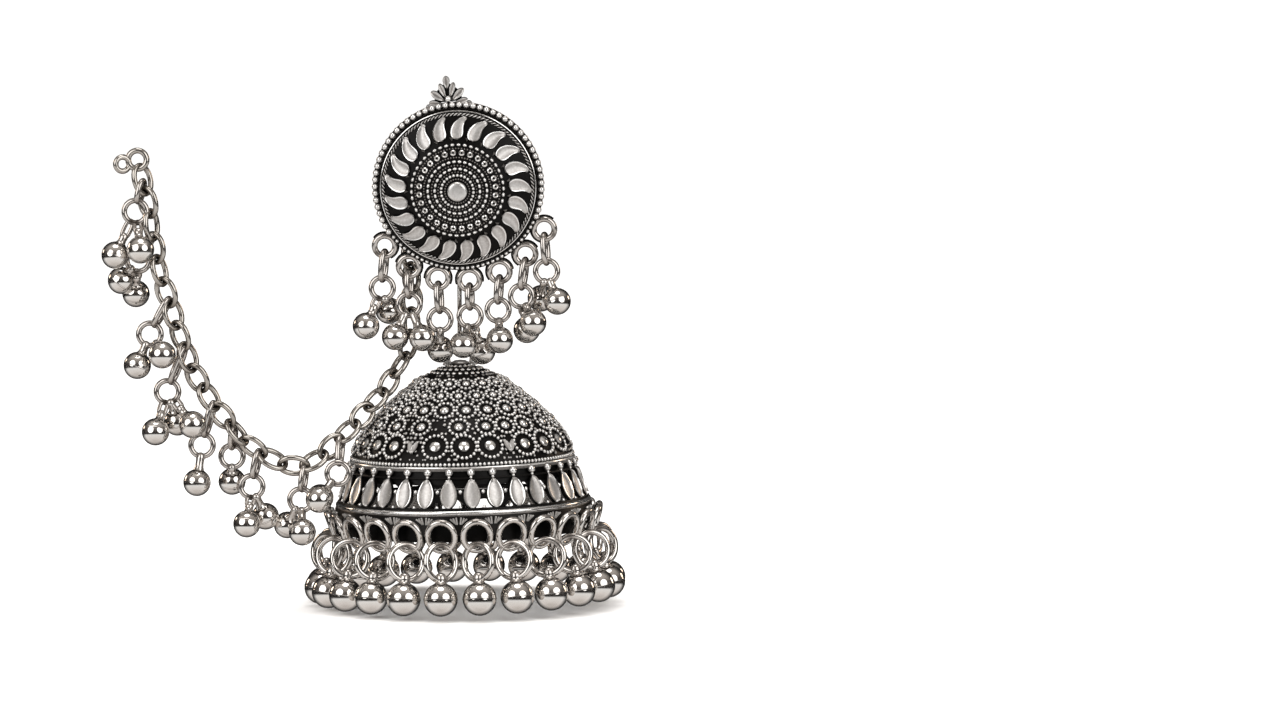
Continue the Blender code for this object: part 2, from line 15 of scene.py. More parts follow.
import bpy
import numpy as np
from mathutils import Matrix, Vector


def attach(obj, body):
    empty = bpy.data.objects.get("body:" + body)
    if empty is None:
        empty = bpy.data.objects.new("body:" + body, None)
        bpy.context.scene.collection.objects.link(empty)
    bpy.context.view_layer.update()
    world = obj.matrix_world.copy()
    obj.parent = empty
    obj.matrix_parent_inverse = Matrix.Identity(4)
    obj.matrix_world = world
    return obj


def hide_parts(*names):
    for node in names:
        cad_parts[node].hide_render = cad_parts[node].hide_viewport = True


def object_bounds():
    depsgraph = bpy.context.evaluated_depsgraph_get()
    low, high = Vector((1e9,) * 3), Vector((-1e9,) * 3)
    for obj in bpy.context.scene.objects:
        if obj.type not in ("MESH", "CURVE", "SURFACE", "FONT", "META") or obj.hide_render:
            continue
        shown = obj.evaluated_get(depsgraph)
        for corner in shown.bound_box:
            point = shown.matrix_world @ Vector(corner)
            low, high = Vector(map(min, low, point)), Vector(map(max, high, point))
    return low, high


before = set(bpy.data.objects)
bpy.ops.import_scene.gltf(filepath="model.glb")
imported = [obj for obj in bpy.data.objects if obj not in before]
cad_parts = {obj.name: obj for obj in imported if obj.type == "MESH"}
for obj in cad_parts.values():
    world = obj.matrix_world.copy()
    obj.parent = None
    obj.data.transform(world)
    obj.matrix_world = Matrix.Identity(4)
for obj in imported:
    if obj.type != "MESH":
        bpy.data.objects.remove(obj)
cad_box = [list(corner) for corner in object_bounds()]

# %% [markdown]
# ## Shapes as arrays
#
# A shape here is three arrays: its points, its faces, and one number for each point that says
# how much the metal is worn there, from 0 in a black hollow to 1 on a rubbed edge. On the black
# collar inside the bell and on the lining's inner face, the number holds painted shade and painted
# light instead. The shader reads that number. A face is a row of four point numbers; a triangle
# has -1 as its fourth.

# %% Placing shapes
Shape = namedtuple("Shape", "points faces wear")


def shift(x, y, z):
    """A move, as a 4x4 matrix: the identity with the move in its last column."""
    matrix = np.eye(4)
    matrix[:3, 3] = x, y, z
    return matrix


def turn(axis, degrees):
    """A turn about X, Y or Z: cosines on the diagonal, plus and minus the sine off it."""
    a, b = {"X": (1, 2), "Y": (2, 0), "Z": (0, 1)}[axis]
    angle = np.radians(degrees)
    matrix = np.eye(4)
    matrix[a, a] = matrix[b, b] = np.cos(angle)
    matrix[b, a], matrix[a, b] = np.sin(angle), -np.sin(angle)
    return matrix


def unit(vectors):
    """Vectors divided by their own length."""
    return vectors / np.linalg.norm(vectors, axis=-1, keepdims=True)


def aim(direction, at, facing=(0, 1, 0)):
    """A place whose z runs along a direction and whose y leans towards facing."""
    z = unit(np.asarray(direction))
    x = unit(np.cross(facing, z))
    matrix = np.eye(4)
    matrix[:3, 0], matrix[:3, 1], matrix[:3, 2], matrix[:3, 3] = x, np.cross(z, x), z, at
    return matrix


def placed(shape, matrix):
    """The shape with each point turned and moved by the matrix."""
    return shape._replace(points=shape.points @ matrix[:3, :3].T + matrix[:3, 3])


def joined(shapes):
    """Several shapes as one: the point numbers of each go up by the points before it."""
    shapes = list(shapes)
    first = np.cumsum([0] + [len(s.points) for s in shapes[:-1]])
    faces = [np.where(s.faces >= 0, s.faces + n, -1) for s, n in zip(shapes, first)]
    return Shape(
        np.vstack([s.points for s in shapes]), np.vstack(faces), np.concatenate([s.wear for s in shapes])
    )


def repeated(shape, places):
    """A copy of the shape at each of the places, an array of 4x4 matrices."""
    places = np.asarray(places)
    points = np.einsum("kij,nj->kni", places[:, :3, :3], shape.points) + places[:, None, :3, 3]
    step = len(shape.points) * np.arange(len(places))[:, None, None]
    faces = np.where(shape.faces >= 0, shape.faces + step, -1)
    return Shape(points.reshape(-1, 3), faces.reshape(-1, 4), np.tile(shape.wear, len(places)))


# %% [markdown]
# ## Three ways to make a surface
#
# Nearly everything on the earring is wire, turned work or a stamped leaf. All three are a row of
# closed outlines with a skin over them, so one function makes the skin, and the others only work
# out the outlines: round a path for wire, round an axis for turned work.

# %% A skin over a row of outlines
def skin(outlines, wear=0.8, closed=False, tips=(None, None)):
    """Faces between each outline and the next: point j of outline i joins point j + 1 and the
    same two of outline i + 1. An open end is closed by a fan to its tip, or to its middle. If
    the volume inside (the sum of each corner triple's determinant) is negative, all faces turn."""
    outlines = np.asarray(outlines, float)
    rows, columns, _ = outlines.shape
    number = np.arange(rows * columns).reshape(rows, columns)
    near, far = (number, np.roll(number, -1, 0)) if closed else (number[:-1], number[1:])
    faces = [np.stack([near, np.roll(near, -1, 1), np.roll(far, -1, 1), far], -1).reshape(-1, 4)]
    points = [outlines.reshape(-1, 3)]
    worn_and_painted_shading = [np.broadcast_to(wear, (rows, columns)).reshape(-1)]
    if not closed:
        for k, (row, tip) in enumerate(zip((0, rows - 1), tips)):
            edge = number[row]
            centre = np.full(columns, rows * columns + k)
            fan = [np.roll(edge, -1), edge] if k == 0 else [edge, np.roll(edge, -1)]
            faces.append(np.stack([*fan, centre, np.full(columns, -1)], -1))
            points.append(np.array([outlines[row].mean(0) if tip is None else tip], float))
            worn_and_painted_shading.append([worn_and_painted_shading[0][edge].mean()])
    points, faces = np.vstack(points), np.vstack(faces)
    a, b, c = points[faces[:, 0]], points[faces[:, 1]], points[faces[:, 2]]
    d = points[np.where(faces[:, 3] < 0, faces[:, 2], faces[:, 3])]
    volume = np.linalg.det(np.stack([a, b, c], 1)).sum() + np.linalg.det(np.stack([a, c, d], 1)).sum()
    if volume < 0:
        square = faces[:, 3] >= 0
        faces[square] = faces[square][:, ::-1]
        faces[~square] = faces[~square][:, [1, 0, 2, 3]]
    return Shape(points, faces, np.concatenate(worn_and_painted_shading))


# %% Wire along a path
def steps_round(count, first=0.0):
    """Angles of so many even steps round the circle, in radians."""
    return 2 * np.pi * (np.arange(count) + first) / count


def wire(path, facing, radius, sides=12, closed=True, wear=0.8):
    """Round wire along a path: around each path point, a circle of the radius in the plane that
    is square to the path, spanned by facing and by what is square to both."""
    path = np.asarray(path, float)
    ahead = np.roll(path, -1, 0) - np.roll(path, 1, 0) if closed else np.gradient(path, axis=0)
    ahead = unit(ahead)
    across = unit(np.cross(ahead, facing))
    up = np.cross(across, ahead)
    angle = steps_round(sides)
    radius = np.broadcast_to(radius, (len(path), sides))[..., None]
    rim = np.cos(angle)[:, None] * across[:, None] + np.sin(angle)[:, None] * up[:, None]
    return skin(path[:, None] + radius * rim, wear, closed)


# %% Turned work
def turned(profile, sides, wear=0.8, closed=False):
    """Turned work: each (radius, height) of the profile goes once round the Z axis. An end on
    the axis is a tip, so that the pole is one point."""
    profile = np.asarray(profile, float)
    wear = np.broadcast_to(wear, len(profile))
    tips = [None, None]
    if not closed and profile[0, 0] == 0:
        tips[0] = (0, 0, profile[0, 1])
        profile, wear = profile[1:], wear[1:]
    if not closed and profile[-1, 0] == 0:
        tips[1] = (0, 0, profile[-1, 1])
        profile, wear = profile[:-1], wear[:-1]
    angle = steps_round(sides)
    circle = np.stack([np.sin(angle), -np.cos(angle)], -1)
    rings = np.dstack(
        [profile[:, :1, None] * circle[None], np.repeat(profile[:, 1:, None], sides, 1)]
    )
    return skin(rings, np.repeat(wear[:, None], sides, 1), closed, tips)


# %% A smooth line through chosen points
def smooth_line(points, count):
    """Points evenly spaced along a Catmull-Rom curve, the smooth curve that passes through every
    chosen point with the slope of the line between its two neighbours."""
    points = np.array(points, float)
    ends = np.vstack([2 * points[0] - points[1], points, 2 * points[-1] - points[-2]])
    t = np.linspace(0, 1, 16, endpoint=False)[:, None]
    a, b, c, d = ends[:-3, None], ends[1:-2, None], ends[2:-1, None], ends[3:, None]
    curve = 0.5 * (
        2 * b + (c - a) * t + (2 * a - 5 * b + 4 * c - d) * t**2 + (3 * b - a - 3 * c + d) * t**3
    )
    curve = np.vstack([curve.reshape(-1, points.shape[1]), points[-1]])
    length = np.concatenate([[0], np.cumsum(np.linalg.norm(np.diff(curve, axis=0), axis=1))])
    even = np.linspace(0, length[-1], count)
    return np.stack([np.interp(even, length, column) for column in curve.T], 1)


# %% Rings, links and granules
def ring(radius, wire_radius, around=40, sides=12, wear=0.8):
    """A round ring that stands in the XZ plane: the wire follows a circle."""
    t = steps_round(around, 0.5)
    path = np.stack([radius * np.sin(t), 0 * t, radius * np.cos(t)], 1)
    return wire(path, (0, 1, 0), wire_radius, sides, True, wear)


def link(length, width, wire_radius, around=36, sides=12, wear=0.8, straight=0.35):
    """An oval link that stands in the XZ plane, long along Z. It is an ellipse, of which the
    given share of the extra length is taken up by straight sides."""
    middle = width / 2 - wire_radius
    extra = length / 2 - wire_radius - middle
    t = steps_round(around, 0.5)
    tall = middle + extra * (1 - straight)
    path = np.stack([middle * np.sin(t), 0 * t, tall * np.cos(t)], 1)
    path[:, 2] += np.clip(np.cos(t) * 3, -1, 1) * extra * straight
    return wire(path, (0, 1, 0), wire_radius, sides, True, wear)


def bead(radius, sides=8, low=0.25, high=1.0):
    """A granule: a half circle of points turned round Z, darker at its foot."""
    t = np.radians([-90, -50, -15, 20, 55, 90])
    height = np.sin(t)
    return turned(np.stack([np.where(np.abs(height) > 0.999, 0, radius * np.cos(t)), radius * height], 1),
                  sides, low + (high - low) * np.clip(0.5 + 0.7 * height, 0, 1))


# %% Tarnish, and seats round an axis
def tarnished(shape, spots, reach, depth=0.8):
    """Wear falls near each spot, by a bell curve of the distance, as where two wires meet."""
    wear = shape.wear.copy()
    for spot in np.asarray(spots):
        gap = np.linalg.norm(shape.points - spot, axis=1)
        wear *= 1 - depth * np.exp(-((gap / reach) ** 2))
    return shape._replace(wear=wear)


def seats(radius, height, tilt, degrees):
    """Places round the Z axis, at angles from the front (-Y) towards +X. Each has x along the
    circle, z out of the surface (tilt is how far the surface looks up) and y up the surface."""
    angle = np.radians(degrees)
    tilt = np.radians(tilt)
    s, c, o = np.sin(angle), -np.cos(angle), np.zeros(len(angle))
    out = np.stack([s * np.cos(tilt), c * np.cos(tilt), o + np.sin(tilt)], 1)
    along = np.stack([-c, s, o], 1)
    matrix = np.tile(np.eye(4), (len(angle), 1, 1))
    matrix[:, :3, 0], matrix[:, :3, 1], matrix[:, :3, 2] = along, np.cross(out, along), out
    matrix[:, :3, 3] = np.stack([radius * s, radius * c, o + height], 1)
    return matrix


# %% Adding a piece to the scene
pieces = {}


def add_piece(name, shape, material, body, nodes=()):
    """Puts a shape into a mesh in metres, with its wear as an attribute, rides it on its body
    and lets it stand for CAD nodes."""
    mesh = bpy.data.meshes.new(name)
    faces = shape.faces.ravel()
    corners = faces[faces >= 0].astype(np.int32)
    counts = 3 + (shape.faces[:, 3] >= 0)
    mesh.vertices.add(len(shape.points))
    mesh.vertices.foreach_set("co", (shape.points * 0.001).astype(np.float32).ravel())
    mesh.loops.add(len(corners))
    mesh.loops.foreach_set("vertex_index", corners)
    mesh.polygons.add(len(counts))
    mesh.polygons.foreach_set("loop_start", np.concatenate([[0], np.cumsum(counts)[:-1]]).astype(np.int32))
    mesh.update(calc_edges=True)
    wear = mesh.attributes.new("wear", "FLOAT", "POINT")
    wear.data.foreach_set("value", np.clip(shape.wear, 0, 1).astype(np.float32))
    mesh.shade_smooth()
    mesh.set_sharp_from_angle(angle=np.radians(38))
    mesh.materials.append(material)
    piece = bpy.data.objects.new(name, mesh)
    bpy.context.scene.collection.objects.link(piece)
    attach(piece, body)
    if nodes:
        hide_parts(*nodes)
    pieces[name] = int((counts - 2).sum())


def triangles_in(start):
    """Triangles of the pieces whose names begin so."""
    return sum(count for name, count in pieces.items() if name.startswith(start))


# %% [markdown]
# ## The finishes
#
# Oxidised silver is a white alloy dipped in a sulphide bath, which turns it brown-black, and
# then rubbed on a wheel, which brings the high points back. So one material reads the wear
# number, breaks it up with a grain, and goes from a dull black to a bright rubbed metal. The
# balls and links are polished all over and only keep a little black in their joints.

# %% Helpers for materials
def colour(hex_code):
    """An sRGB hex colour as linear RGBA: each channel over 255, then ((c + 0.055) / 1.055)^2.4."""
    channels = np.array([int(hex_code[i : i + 2], 16) for i in (1, 3, 5)]) / 255
    linear = np.where(channels <= 0.04045, channels / 12.92, ((channels + 0.055) / 1.055) ** 2.4)
    return (*[float(c) for c in linear], 1.0)


def add_node(tree, kind, inputs=None, **settings):
    """Adds one shader node. settings are its own properties; inputs gives each socket, by name
    or number, a value or the socket that feeds it."""
    node = tree.nodes.new("ShaderNode" + kind)
    for name, value in settings.items():
        setattr(node, name, value)
    for name, value in (inputs or {}).items():
        if isinstance(value, bpy.types.NodeSocket):
            tree.links.new(value, node.inputs[name])
        else:
            node.inputs[name].default_value = value
    return node


def set_stops(ramp, stops):
    """Gives a colour ramp its stops, each a position and a hex colour."""
    elements = ramp.color_ramp.elements
    while len(elements) < len(stops):
        elements.new(0.5)
    for element, (position, hex_code) in zip(elements, stops):
        element.position, element.color = position, colour(hex_code)


# %% One kind of metal
def silver(name, stops, grain_mm, grain_share, cloud_mm, cloud_share, shine, roughness, metallic, bump_mm):
    """A metal whose colour follows the wear number. Grain and cloud are noises with features of
    the given size in millimetres, added to the wear with the given shares. Between the two
    levels of shine the roughness goes from its first value to its second. bump_mm is the grain's depth."""
    material = bpy.data.materials.new(name)
    material.use_nodes = True
    tree = material.node_tree
    shader = tree.nodes["Principled BSDF"]
    wear = add_node(tree, "Attribute", attribute_name="wear")
    place = add_node(tree, "TexCoord").outputs["Object"]
    grain, cloud = [
        add_node(tree, "TexNoise",
                 {"Vector": place, "Scale": 1000 / size, "Detail": detail, "Roughness": 0.6})
        for size, detail in ((grain_mm, 3.0), (cloud_mm, 4.0))
    ]
    level = wear.outputs["Fac"]
    for noise, share in ((grain, grain_share), (cloud, cloud_share)):
        level = add_node(tree, "Math", {0: noise.outputs[0], 1: share, 2: level},
                         operation="MULTIPLY_ADD").outputs[0]
    level = add_node(tree, "Math", {0: level, 1: (grain_share + cloud_share) / 2},
                     operation="SUBTRACT", use_clamp=True).outputs[0]
    ramp = add_node(tree, "ValToRGB", {"Fac": level})
    set_stops(ramp, stops)
    rough = add_node(tree, "MapRange",
                     {"Value": level, "From Min": shine[0], "From Max": shine[1],
                      "To Min": roughness[0], "To Max": roughness[1]})
    metal = add_node(tree, "MapRange", {"Value": level, "To Min": metallic[0], "To Max": metallic[1]})
    bump = add_node(tree, "Bump", {"Height": grain.outputs[0], "Strength": 1.0, "Distance": bump_mm * 0.001})
    for socket, value in (("Base Color", ramp.outputs["Color"]), ("Roughness", rough.outputs[0]),
                          ("Metallic", metal.outputs[0]), ("Normal", bump.outputs[0])):
        tree.links.new(value, shader.inputs[socket])
    shader.inputs["Specular IOR Level"].default_value = 0.2
    return material


# %% The three finishes
# Blackened and rubbed cast metal: cast grain of about 0.3 mm, patina in clouds of 3 mm.
oxidised = silver(
    "oxidised_silver", [(0.0, "#070605"), (0.32, "#191614"), (0.6, "#8c8783"), (1.0, "#f0eeeb")],
    grain_mm=0.3, grain_share=0.22, cloud_mm=3.0, cloud_share=0.14,
    shine=(0.78, 0.95), roughness=(0.36, 0.13), metallic=(0.5, 0.95), bump_mm=0.008
)
# Polished hollow balls and rings: nearly a mirror, its reflections waved by dents 1.5 mm wide.
polished = silver(
    "polished_silver", [(0.0, "#100d0b"), (0.3, "#453e38"), (0.55, "#aaa39d"), (1.0, "#e2ded9")],
    grain_mm=1.5, grain_share=0.1, cloud_mm=4.0, cloud_share=0.12,
    shine=(0.15, 0.45), roughness=(0.34, 0.08), metallic=(0.75, 1.0), bump_mm=0.01
)
# Links tumbled in a drum: a softer shine, warm grey, a grain of about 0.4 mm.
tumbled = silver(
    "tumbled_silver", [(0.0, "#0e0b09"), (0.35, "#3b342e"), (0.65, "#8f8880"), (1.0, "#d9d4cd")],
    grain_mm=0.4, grain_share=0.16, cloud_mm=3.0, cloud_share=0.16,
    shine=(0.15, 0.5), roughness=(0.34, 0.12), metallic=(0.75, 1.0), bump_mm=0.006
)
print("finishes:", oxidised.name, polished.name, tumbled.name)

# %% [markdown]
# ## Frames and sizes
#
# The stud leans its top edge forward and is turned a little, and the bell hangs a little askew.
# Each gets a matrix of its own, so that its pieces can be worked out upright and then placed. In
# the stud's own frame Z comes out of its face.

# %% Sizes of the stud and its strands, in millimetres
disc_radius, disc_edge, disc_lean, petal_count = 12.5, 1.0, 8.0, 21
loop_radius, loop_wire, loop_stand, loop_step, loop_count = 1.475, 0.375, 1.3, 18.9, 7
link_wire, ring_radius, ring_wire, ball_radius, neck_radius = 0.325, 1.59, 0.35, 1.94, 0.5
hang_reach = ring_radius + ring_wire + 2 * ball_radius
staple_wire, clearance = 0.4, 0.25
hinge, chain_eye = np.array([-0.1, 5.2, -10.6]), np.array([-7.1, 4.4, -8.6])
stud_place = turn("X", 90 + disc_lean) @ turn("Z", 6.1)
print("stud:", 2 * disc_radius, "mm across, leaning", disc_lean, "degrees")

# %% [markdown]
# ## The stud
#
# The stud is a cast shield in steps. Over a dark ground lie a ring of comma petals, a twisted
# wire, rings of granules and a flat polished boss. Each ring is one small shape repeated round
# the axis, which is how a goldsmith lays granules too.

# %% The stud's ground
ground = smooth_line([(1.5, 4.95), (3.0, 4.75), (5.0, 4.35), (6.9, 3.8), (9.0, 3.05), (10.5, 2.45)], 24)
ground_profile = np.vstack([
    [(0, 5.62), (0.7, 5.61), (1.18, 5.56), (1.34, 5.44), (1.41, 5.25), (1.43, 4.9)],
    ground,
    [(10.85, 2.15), (11.15, 1.55), (11.5, 1.2), (12.0, 1.15), (12.2, 1.05), (12.25, 0.6), (12.2, 0.12),
     (12.05, 0.0), (11.3, 0.0), (11.05, 0.3), (2.5, 0.42), (2.3, 0.02), (0, 0.02)],
])
ground_wear = np.concatenate([
    [0.8, 0.8, 0.82, 0.9, 0.5, 0.0], np.full(len(ground), 0.06),
    [0.08, 0.04, 0.04, 0.04, 0.15, 0.3, 0.4, 0.9, 0.9, 0.55, 0.62, 0.8, 0.8]
])
front_profile = ground_profile[:-6]  # the last six points are the back
stud_shapes = [turned(ground_profile, 128, ground_wear)]


def stud_height(radius):
    """Height of the ground at a radius, read from its profile."""
    return np.interp(radius, front_profile[:, 0], front_profile[:, 1])


def stud_seats(radius, angles, lift=0.0):
    """Places round the stud at a radius, square to the slope of its ground there."""
    fall = (stud_height(radius + 0.05) - stud_height(radius - 0.05)) / 0.1
    places = seats(radius, stud_height(radius), 90 + np.degrees(np.arctan(fall)), angles)
    places[:, :3, 3] += lift * places[:, :3, 2]
    return places


def on_stud(shape, *seat):
    """Adds a copy of the shape at each of the stud's seats."""
    stud_shapes.append(repeated(shape, stud_seats(*seat)))


def even(count, first=0.0):
    """Angles of so many equal steps round the circle."""
    return first + 360 * np.arange(count) / count


def faces_in(shapes):
    """How many faces a list of shapes has."""
    return sum(len(shape.faces) for shape in shapes)


print("ground:", faces_in(stud_shapes), "faces")

# %% Rings of granules and the border
for radius, count, size, lift in ((1.75, 30, 0.13, 0.02), (2.3, 27, 0.24, 0.08), (2.75, 40, 0.12, 0.02),
                                  (3.68, 52, 0.13, 0.02), (4.8, 76, 0.13, 0.02), (6.05, 90, 0.13, 0.02)):
    granule = bead(size, 8, 0.1, 1.0 if size > 0.2 else 0.55)
    on_stud(granule, radius, even(count), lift)
# Ring-shaped beads: a low doughnut with a dark dot in its middle
doughnut = turned(
    [(0, 0.04), (0.12, 0.03), (0.17, 0.2), (0.29, 0.3), (0.41, 0.2), (0.47, -0.1)], 12,
    (0.0, 0.0, 0.7, 1.0, 0.9, 0.1)
)
on_stud(doughnut, 5.45, even(28), 0.05)
# Dashes: granules pulled out along the ring
dash = placed(bead(0.24, 8), np.diag([1.45, 0.95, 1.1, 1]))
for radius, count in ((3.22, 26), (4.22, 34), (6.55, 46)):
    on_stud(dash, radius, even(count), 0.07)
# The border: stout beads over the top two thirds, and small ones below, where the loops are
on_stud(bead(0.48, 12, 0.0, 0.95), 11.93, np.linspace(63, 297, 50), 0.12)
on_stud(bead(0.3, 8, 0.1, 1.0), 11.85, np.linspace(-58, 58, 33), 0.02)
print("with granules:", faces_in(stud_shapes), "faces")


# %% The border's wires
def round_path(radius, height, t):
    """Points round the Z axis at the angles t: radius times sine and minus cosine, so that 0 is
    the front (-Y)."""
    return np.stack([radius * np.sin(t), -radius * np.cos(t), height + 0 * t], 1)


def level_ring(radius, height, size, steps=180, sides=8, wear=0.8):
    """A level ring of round wire about the Z axis."""
    t = steps_round(steps)
    return wire(round_path(radius, height, t), (0, 0, 1), size, sides, True, wear)


def twisted(radius, wire_radius, height, turns, steps):
    """Two wires twisted into a ring: the section is a circle whose radius swells twice round
    it, and that swelling turns with the way along."""
    t = steps_round(steps)
    around = steps_round(10)
    swell = np.cos(2 * around[None] - turns * t[:, None])
    return wire(round_path(radius, height, t), (0, 0, 1), wire_radius * (1 + 0.28 * swell), 10, True,
                0.45 + 0.55 * swell)


stud_shapes += [
    twisted(10.7, 0.17, 2.42, 120, 900),
    level_ring(11.1, 1.92, 0.11, wear=1.0),
    level_ring(11.4, 1.4, 0.1, wear=0.2),
]

# %% [markdown]
# A comma petal is a leaf whose middle line bends: the outline is a middle line plus and minus a
# width, and across it the height has a low rim, a shallow dish and again a rim. The rim is what
# catches the light. The palmette on the stud's top edge is a fan of such leaves on a dark plate.

# %% Leaves
leaf_across = np.array([-1.0, -1.0, -0.95, -0.84, -0.7, 0.0, 0.7, 0.84, 0.95, 1.0, 1.0])


def leaf(middle, half, height, wear):
    """A stamped leaf. middle is its line (x, y) from foot to tip and half its half width there.
    Every section has its points at leaf_across times half, and its heights in millimetres,
    lower where the leaf is thin."""
    ahead = unit(np.gradient(middle, axis=0))
    square = np.stack([-ahead[:, 1], ahead[:, 0]], 1)
    flat = middle[:, None] + (half[:, None] * leaf_across)[..., None] * square[:, None]
    thin = np.clip(half / (0.35 * half.max()), 0.15, 1)[:, None]
    tall = height * np.where(np.array(height) > 0, thin, 1)
    return skin(np.dstack([flat, tall]), wear)


dish_height = (-0.3, 0.22, 0.42, 0.42, 0.36, 0.33, 0.36, 0.42, 0.42, 0.22, -0.3)
dish_wear = (0.0, 0.25, 1.0, 1.0, 0.66, 0.76, 0.66, 1.0, 1.0, 0.25, 0.0)
# The comma's direction turns from 15 degrees against the clock to 62 degrees with it; adding up
# small steps in that direction gives its middle line. y runs to the stud's middle here.
s = np.linspace(0, 1, 34)
bend = np.radians(-15 + 77 * s**1.25)
comma_middle = np.cumsum(np.stack([-np.sin(bend), -np.cos(bend)], 1), 0) * 3.85 / len(s) + (0.25, 1.9)
comma_half = smooth_line([(0, 0.0), (0.02, 0.42), (0.09, 0.8), (0.24, 1.0), (0.45, 0.92), (0.7, 0.62),
                          (0.9, 0.34), (0.98, 0.2), (1.0, 0.04)], len(s))
comma_half = np.interp(s, comma_half[:, 0], comma_half[:, 1])
comma = leaf(comma_middle, np.maximum(comma_half, 0.02) * 0.97, dish_height, dish_wear)
on_stud(comma, 8.95, even(petal_count), 0.1)
arrow = placed(turned([(0, 0.3), (0.34, 0.12), (0.46, -0.2)], 3, (0.7, 0.5, 0.1)), turn("Z", 60))
on_stud(arrow, 7.42, even(petal_count, 8.6), 0.08)
print("comma petal:", len(comma.points), "points")

# %% The palmette on top
palm = []
s = (1 - np.cos(np.pi * np.linspace(0, 1, 22))) / 2
bulb = np.sin(np.pi * np.clip(s, 0.004, 0.996) ** 1.6) ** 0.55
hollow_height = (-0.3, 0.3, 0.52, 0.52, 0.4, 0.3, 0.4, 0.52, 0.52, 0.3, -0.3)
hollow_wear = (0.0, 0.2, 1.0, 1.0, 0.85, 0.5, 0.85, 1.0, 1.0, 0.2, 0.0)
# Each lobe has its place (x, y), lean, length and half width; off the middle it has a twin
lobes = ((0, 1.95, 0, 1.85, 0.5), (0.32, 0.75, 19, 2.15, 0.4), (0.55, 0.3, 50, 2.3, 0.5),
         (0.85, -0.12, 80, 1.95, 0.4), (2.0, -0.5, 82, 1.3, 0.36))
for x, y, lean, reach, half in lobes:
    one = leaf(np.stack([0 * s, s * reach], 1), half * bulb, hollow_height, hollow_wear)
    for side in (-1, 1) if x else (1,):
        palm.append(placed(one, shift(side * x, y, 0.05) @ turn("Z", -side * lean)))
fan = np.radians(np.linspace(-100, 100, 24))
edge = np.stack([1.95 * np.sin(fan), 0.5 + 2.4 * np.cos(fan) * (1 - 0.2 * np.abs(np.sin(2 * fan)))], 1)
backing = [np.column_stack([edge, np.full(len(fan), z)]) for z in (-0.35, 0.02)]
palm.append(skin(backing, np.repeat([[0.5], [0.03]], len(fan), 1)))
palm.append(placed(bead(0.5, 14, 0.3, 1.0), shift(0, 0.55, 0.25)))
stud_shapes.append(placed(joined(palm), shift(0, disc_radius - 0.25, disc_edge / 2 + 0.3)))
print("palmette:", faces_in(palm), "faces")


# %% Loops under the stud, and the two staples on its back
def loop_place(i):
    """Place of loop i, counted from the left: below the disc's edge, turned round its middle."""
    return turn("Z", loop_step * (i - loop_count // 2)) @ shift(0, -disc_radius - loop_stand, disc_edge / 2)


loop = tarnished(ring(loop_radius, loop_wire + 0.05, 40, 12, 0.66), [(0, 0, -loop_radius)], 0.6)
t = np.radians(np.linspace(-105, 105, 24))
web_path = np.stack([1.72 * np.sin(t), 0.3 + 0 * t, 1.72 * np.cos(t)], 1)
web = wire(web_path, (0, 1, 0), 0.4, 8, False, 0.02)
loop, web = placed(loop, turn("X", -90)), placed(web, turn("X", -90))
loops = placed(repeated(loop, [loop_place(i) for i in range(loop_count)]), stud_place)
# A dark web of solder behind each loop
stud_shapes.append(repeated(web, [loop_place(i) for i in range(loop_count)]))
stud = placed(joined(stud_shapes), stud_place)
# A staple is an oval link that lies level, half sunk in the disc's back
staples = []
for x, y, z in (hinge, chain_eye):
    near = -z * np.tan(np.radians(disc_lean)) - disc_edge / 2
    eye = link(y - near + 2 * staple_wire, 2.4 + 2 * staple_wire, 0.32, wear=0.7)
    staples.append(placed(eye, shift(x, (y + near) / 2, z) @ turn("X", 90)))
add_piece("stud_loops", joined([loops, *staples]), polished, "stud")
add_piece("stud_disc", stud, oxidised, "stud", ["top_disc"])
print("stud:", pieces["stud_disc"], "triangles")

# %% [markdown]
# ## Ghungroo balls
#
# Each ball is two thin half shells closed at the middle, so a fine seam runs round it. A short
# neck is soldered on a crown of small points, and the neck wraps the ring it hangs from. The
# whole is one turned profile; the seam and the crown are lines of low wear.

# %% One ball
def ghungroo(radius, neck, reach, sides=40):
    """A ball about the origin with its neck up to a wire at the height reach: the profile is a
    circle from the bottom to the crown, then the neck's collar, waist and rounded top."""
    low = np.radians(np.concatenate([
        np.linspace(-90, -8, 14), [-4.5, -2.6, -1.4, 0.0, 1.4, 2.6, 4.5], np.linspace(9, 44, 8),
        np.linspace(47, 66, 10)
    ]))
    size = radius * (1 + 0.012 * np.exp(-((np.degrees(low) / 1.5) ** 2)))
    body = np.stack([size * np.cos(low), size * np.sin(low)], 1)
    body[0, 0] = 0
    top = radius * np.sin(low[-1])
    rise = np.array([0.0, 0.25, 0.5, 0.75, 0.95, 1.0])
    waist = neck * np.array([1.1, 1.0, 0.94, 0.94, 1.0, 1.0])
    stem = np.stack([waist, top + rise * (reach - 0.3 * neck - top)], 1)
    head = np.radians([20, 45, 70, 90])
    knob = np.stack([neck * np.cos(head), reach - 0.3 * neck + neck * (0.3 + 0.9 * np.sin(head))], 1)
    knob[-1, 0] = 0
    profile = np.vstack([body, stem[1:], knob])
    shape = turned(profile, sides, 0.92)
    x, y, z = shape.points.T
    latitude = np.degrees(np.arcsin(np.clip(z / radius, -1, 1)))
    around = np.arctan2(y, x)
    tooth = np.abs(((around * 9 / np.pi) % 2) - 1)
    crown = 51 + 8 * tooth
    seam = np.where(np.abs(np.abs(latitude) - 2.6) < 0.9, 0.35, shape.wear)
    on_ball = seam * (1 - 0.98 * np.exp(-(((latitude - crown) / 4.5) ** 4)))
    on_neck = seam * np.where(z < top + 0.12 * (reach - top), 0.3, 0.75)
    wear = np.where(np.linalg.norm(shape.points, axis=1) < radius * 1.02, on_ball, on_neck)
    return shape._replace(wear=wear)


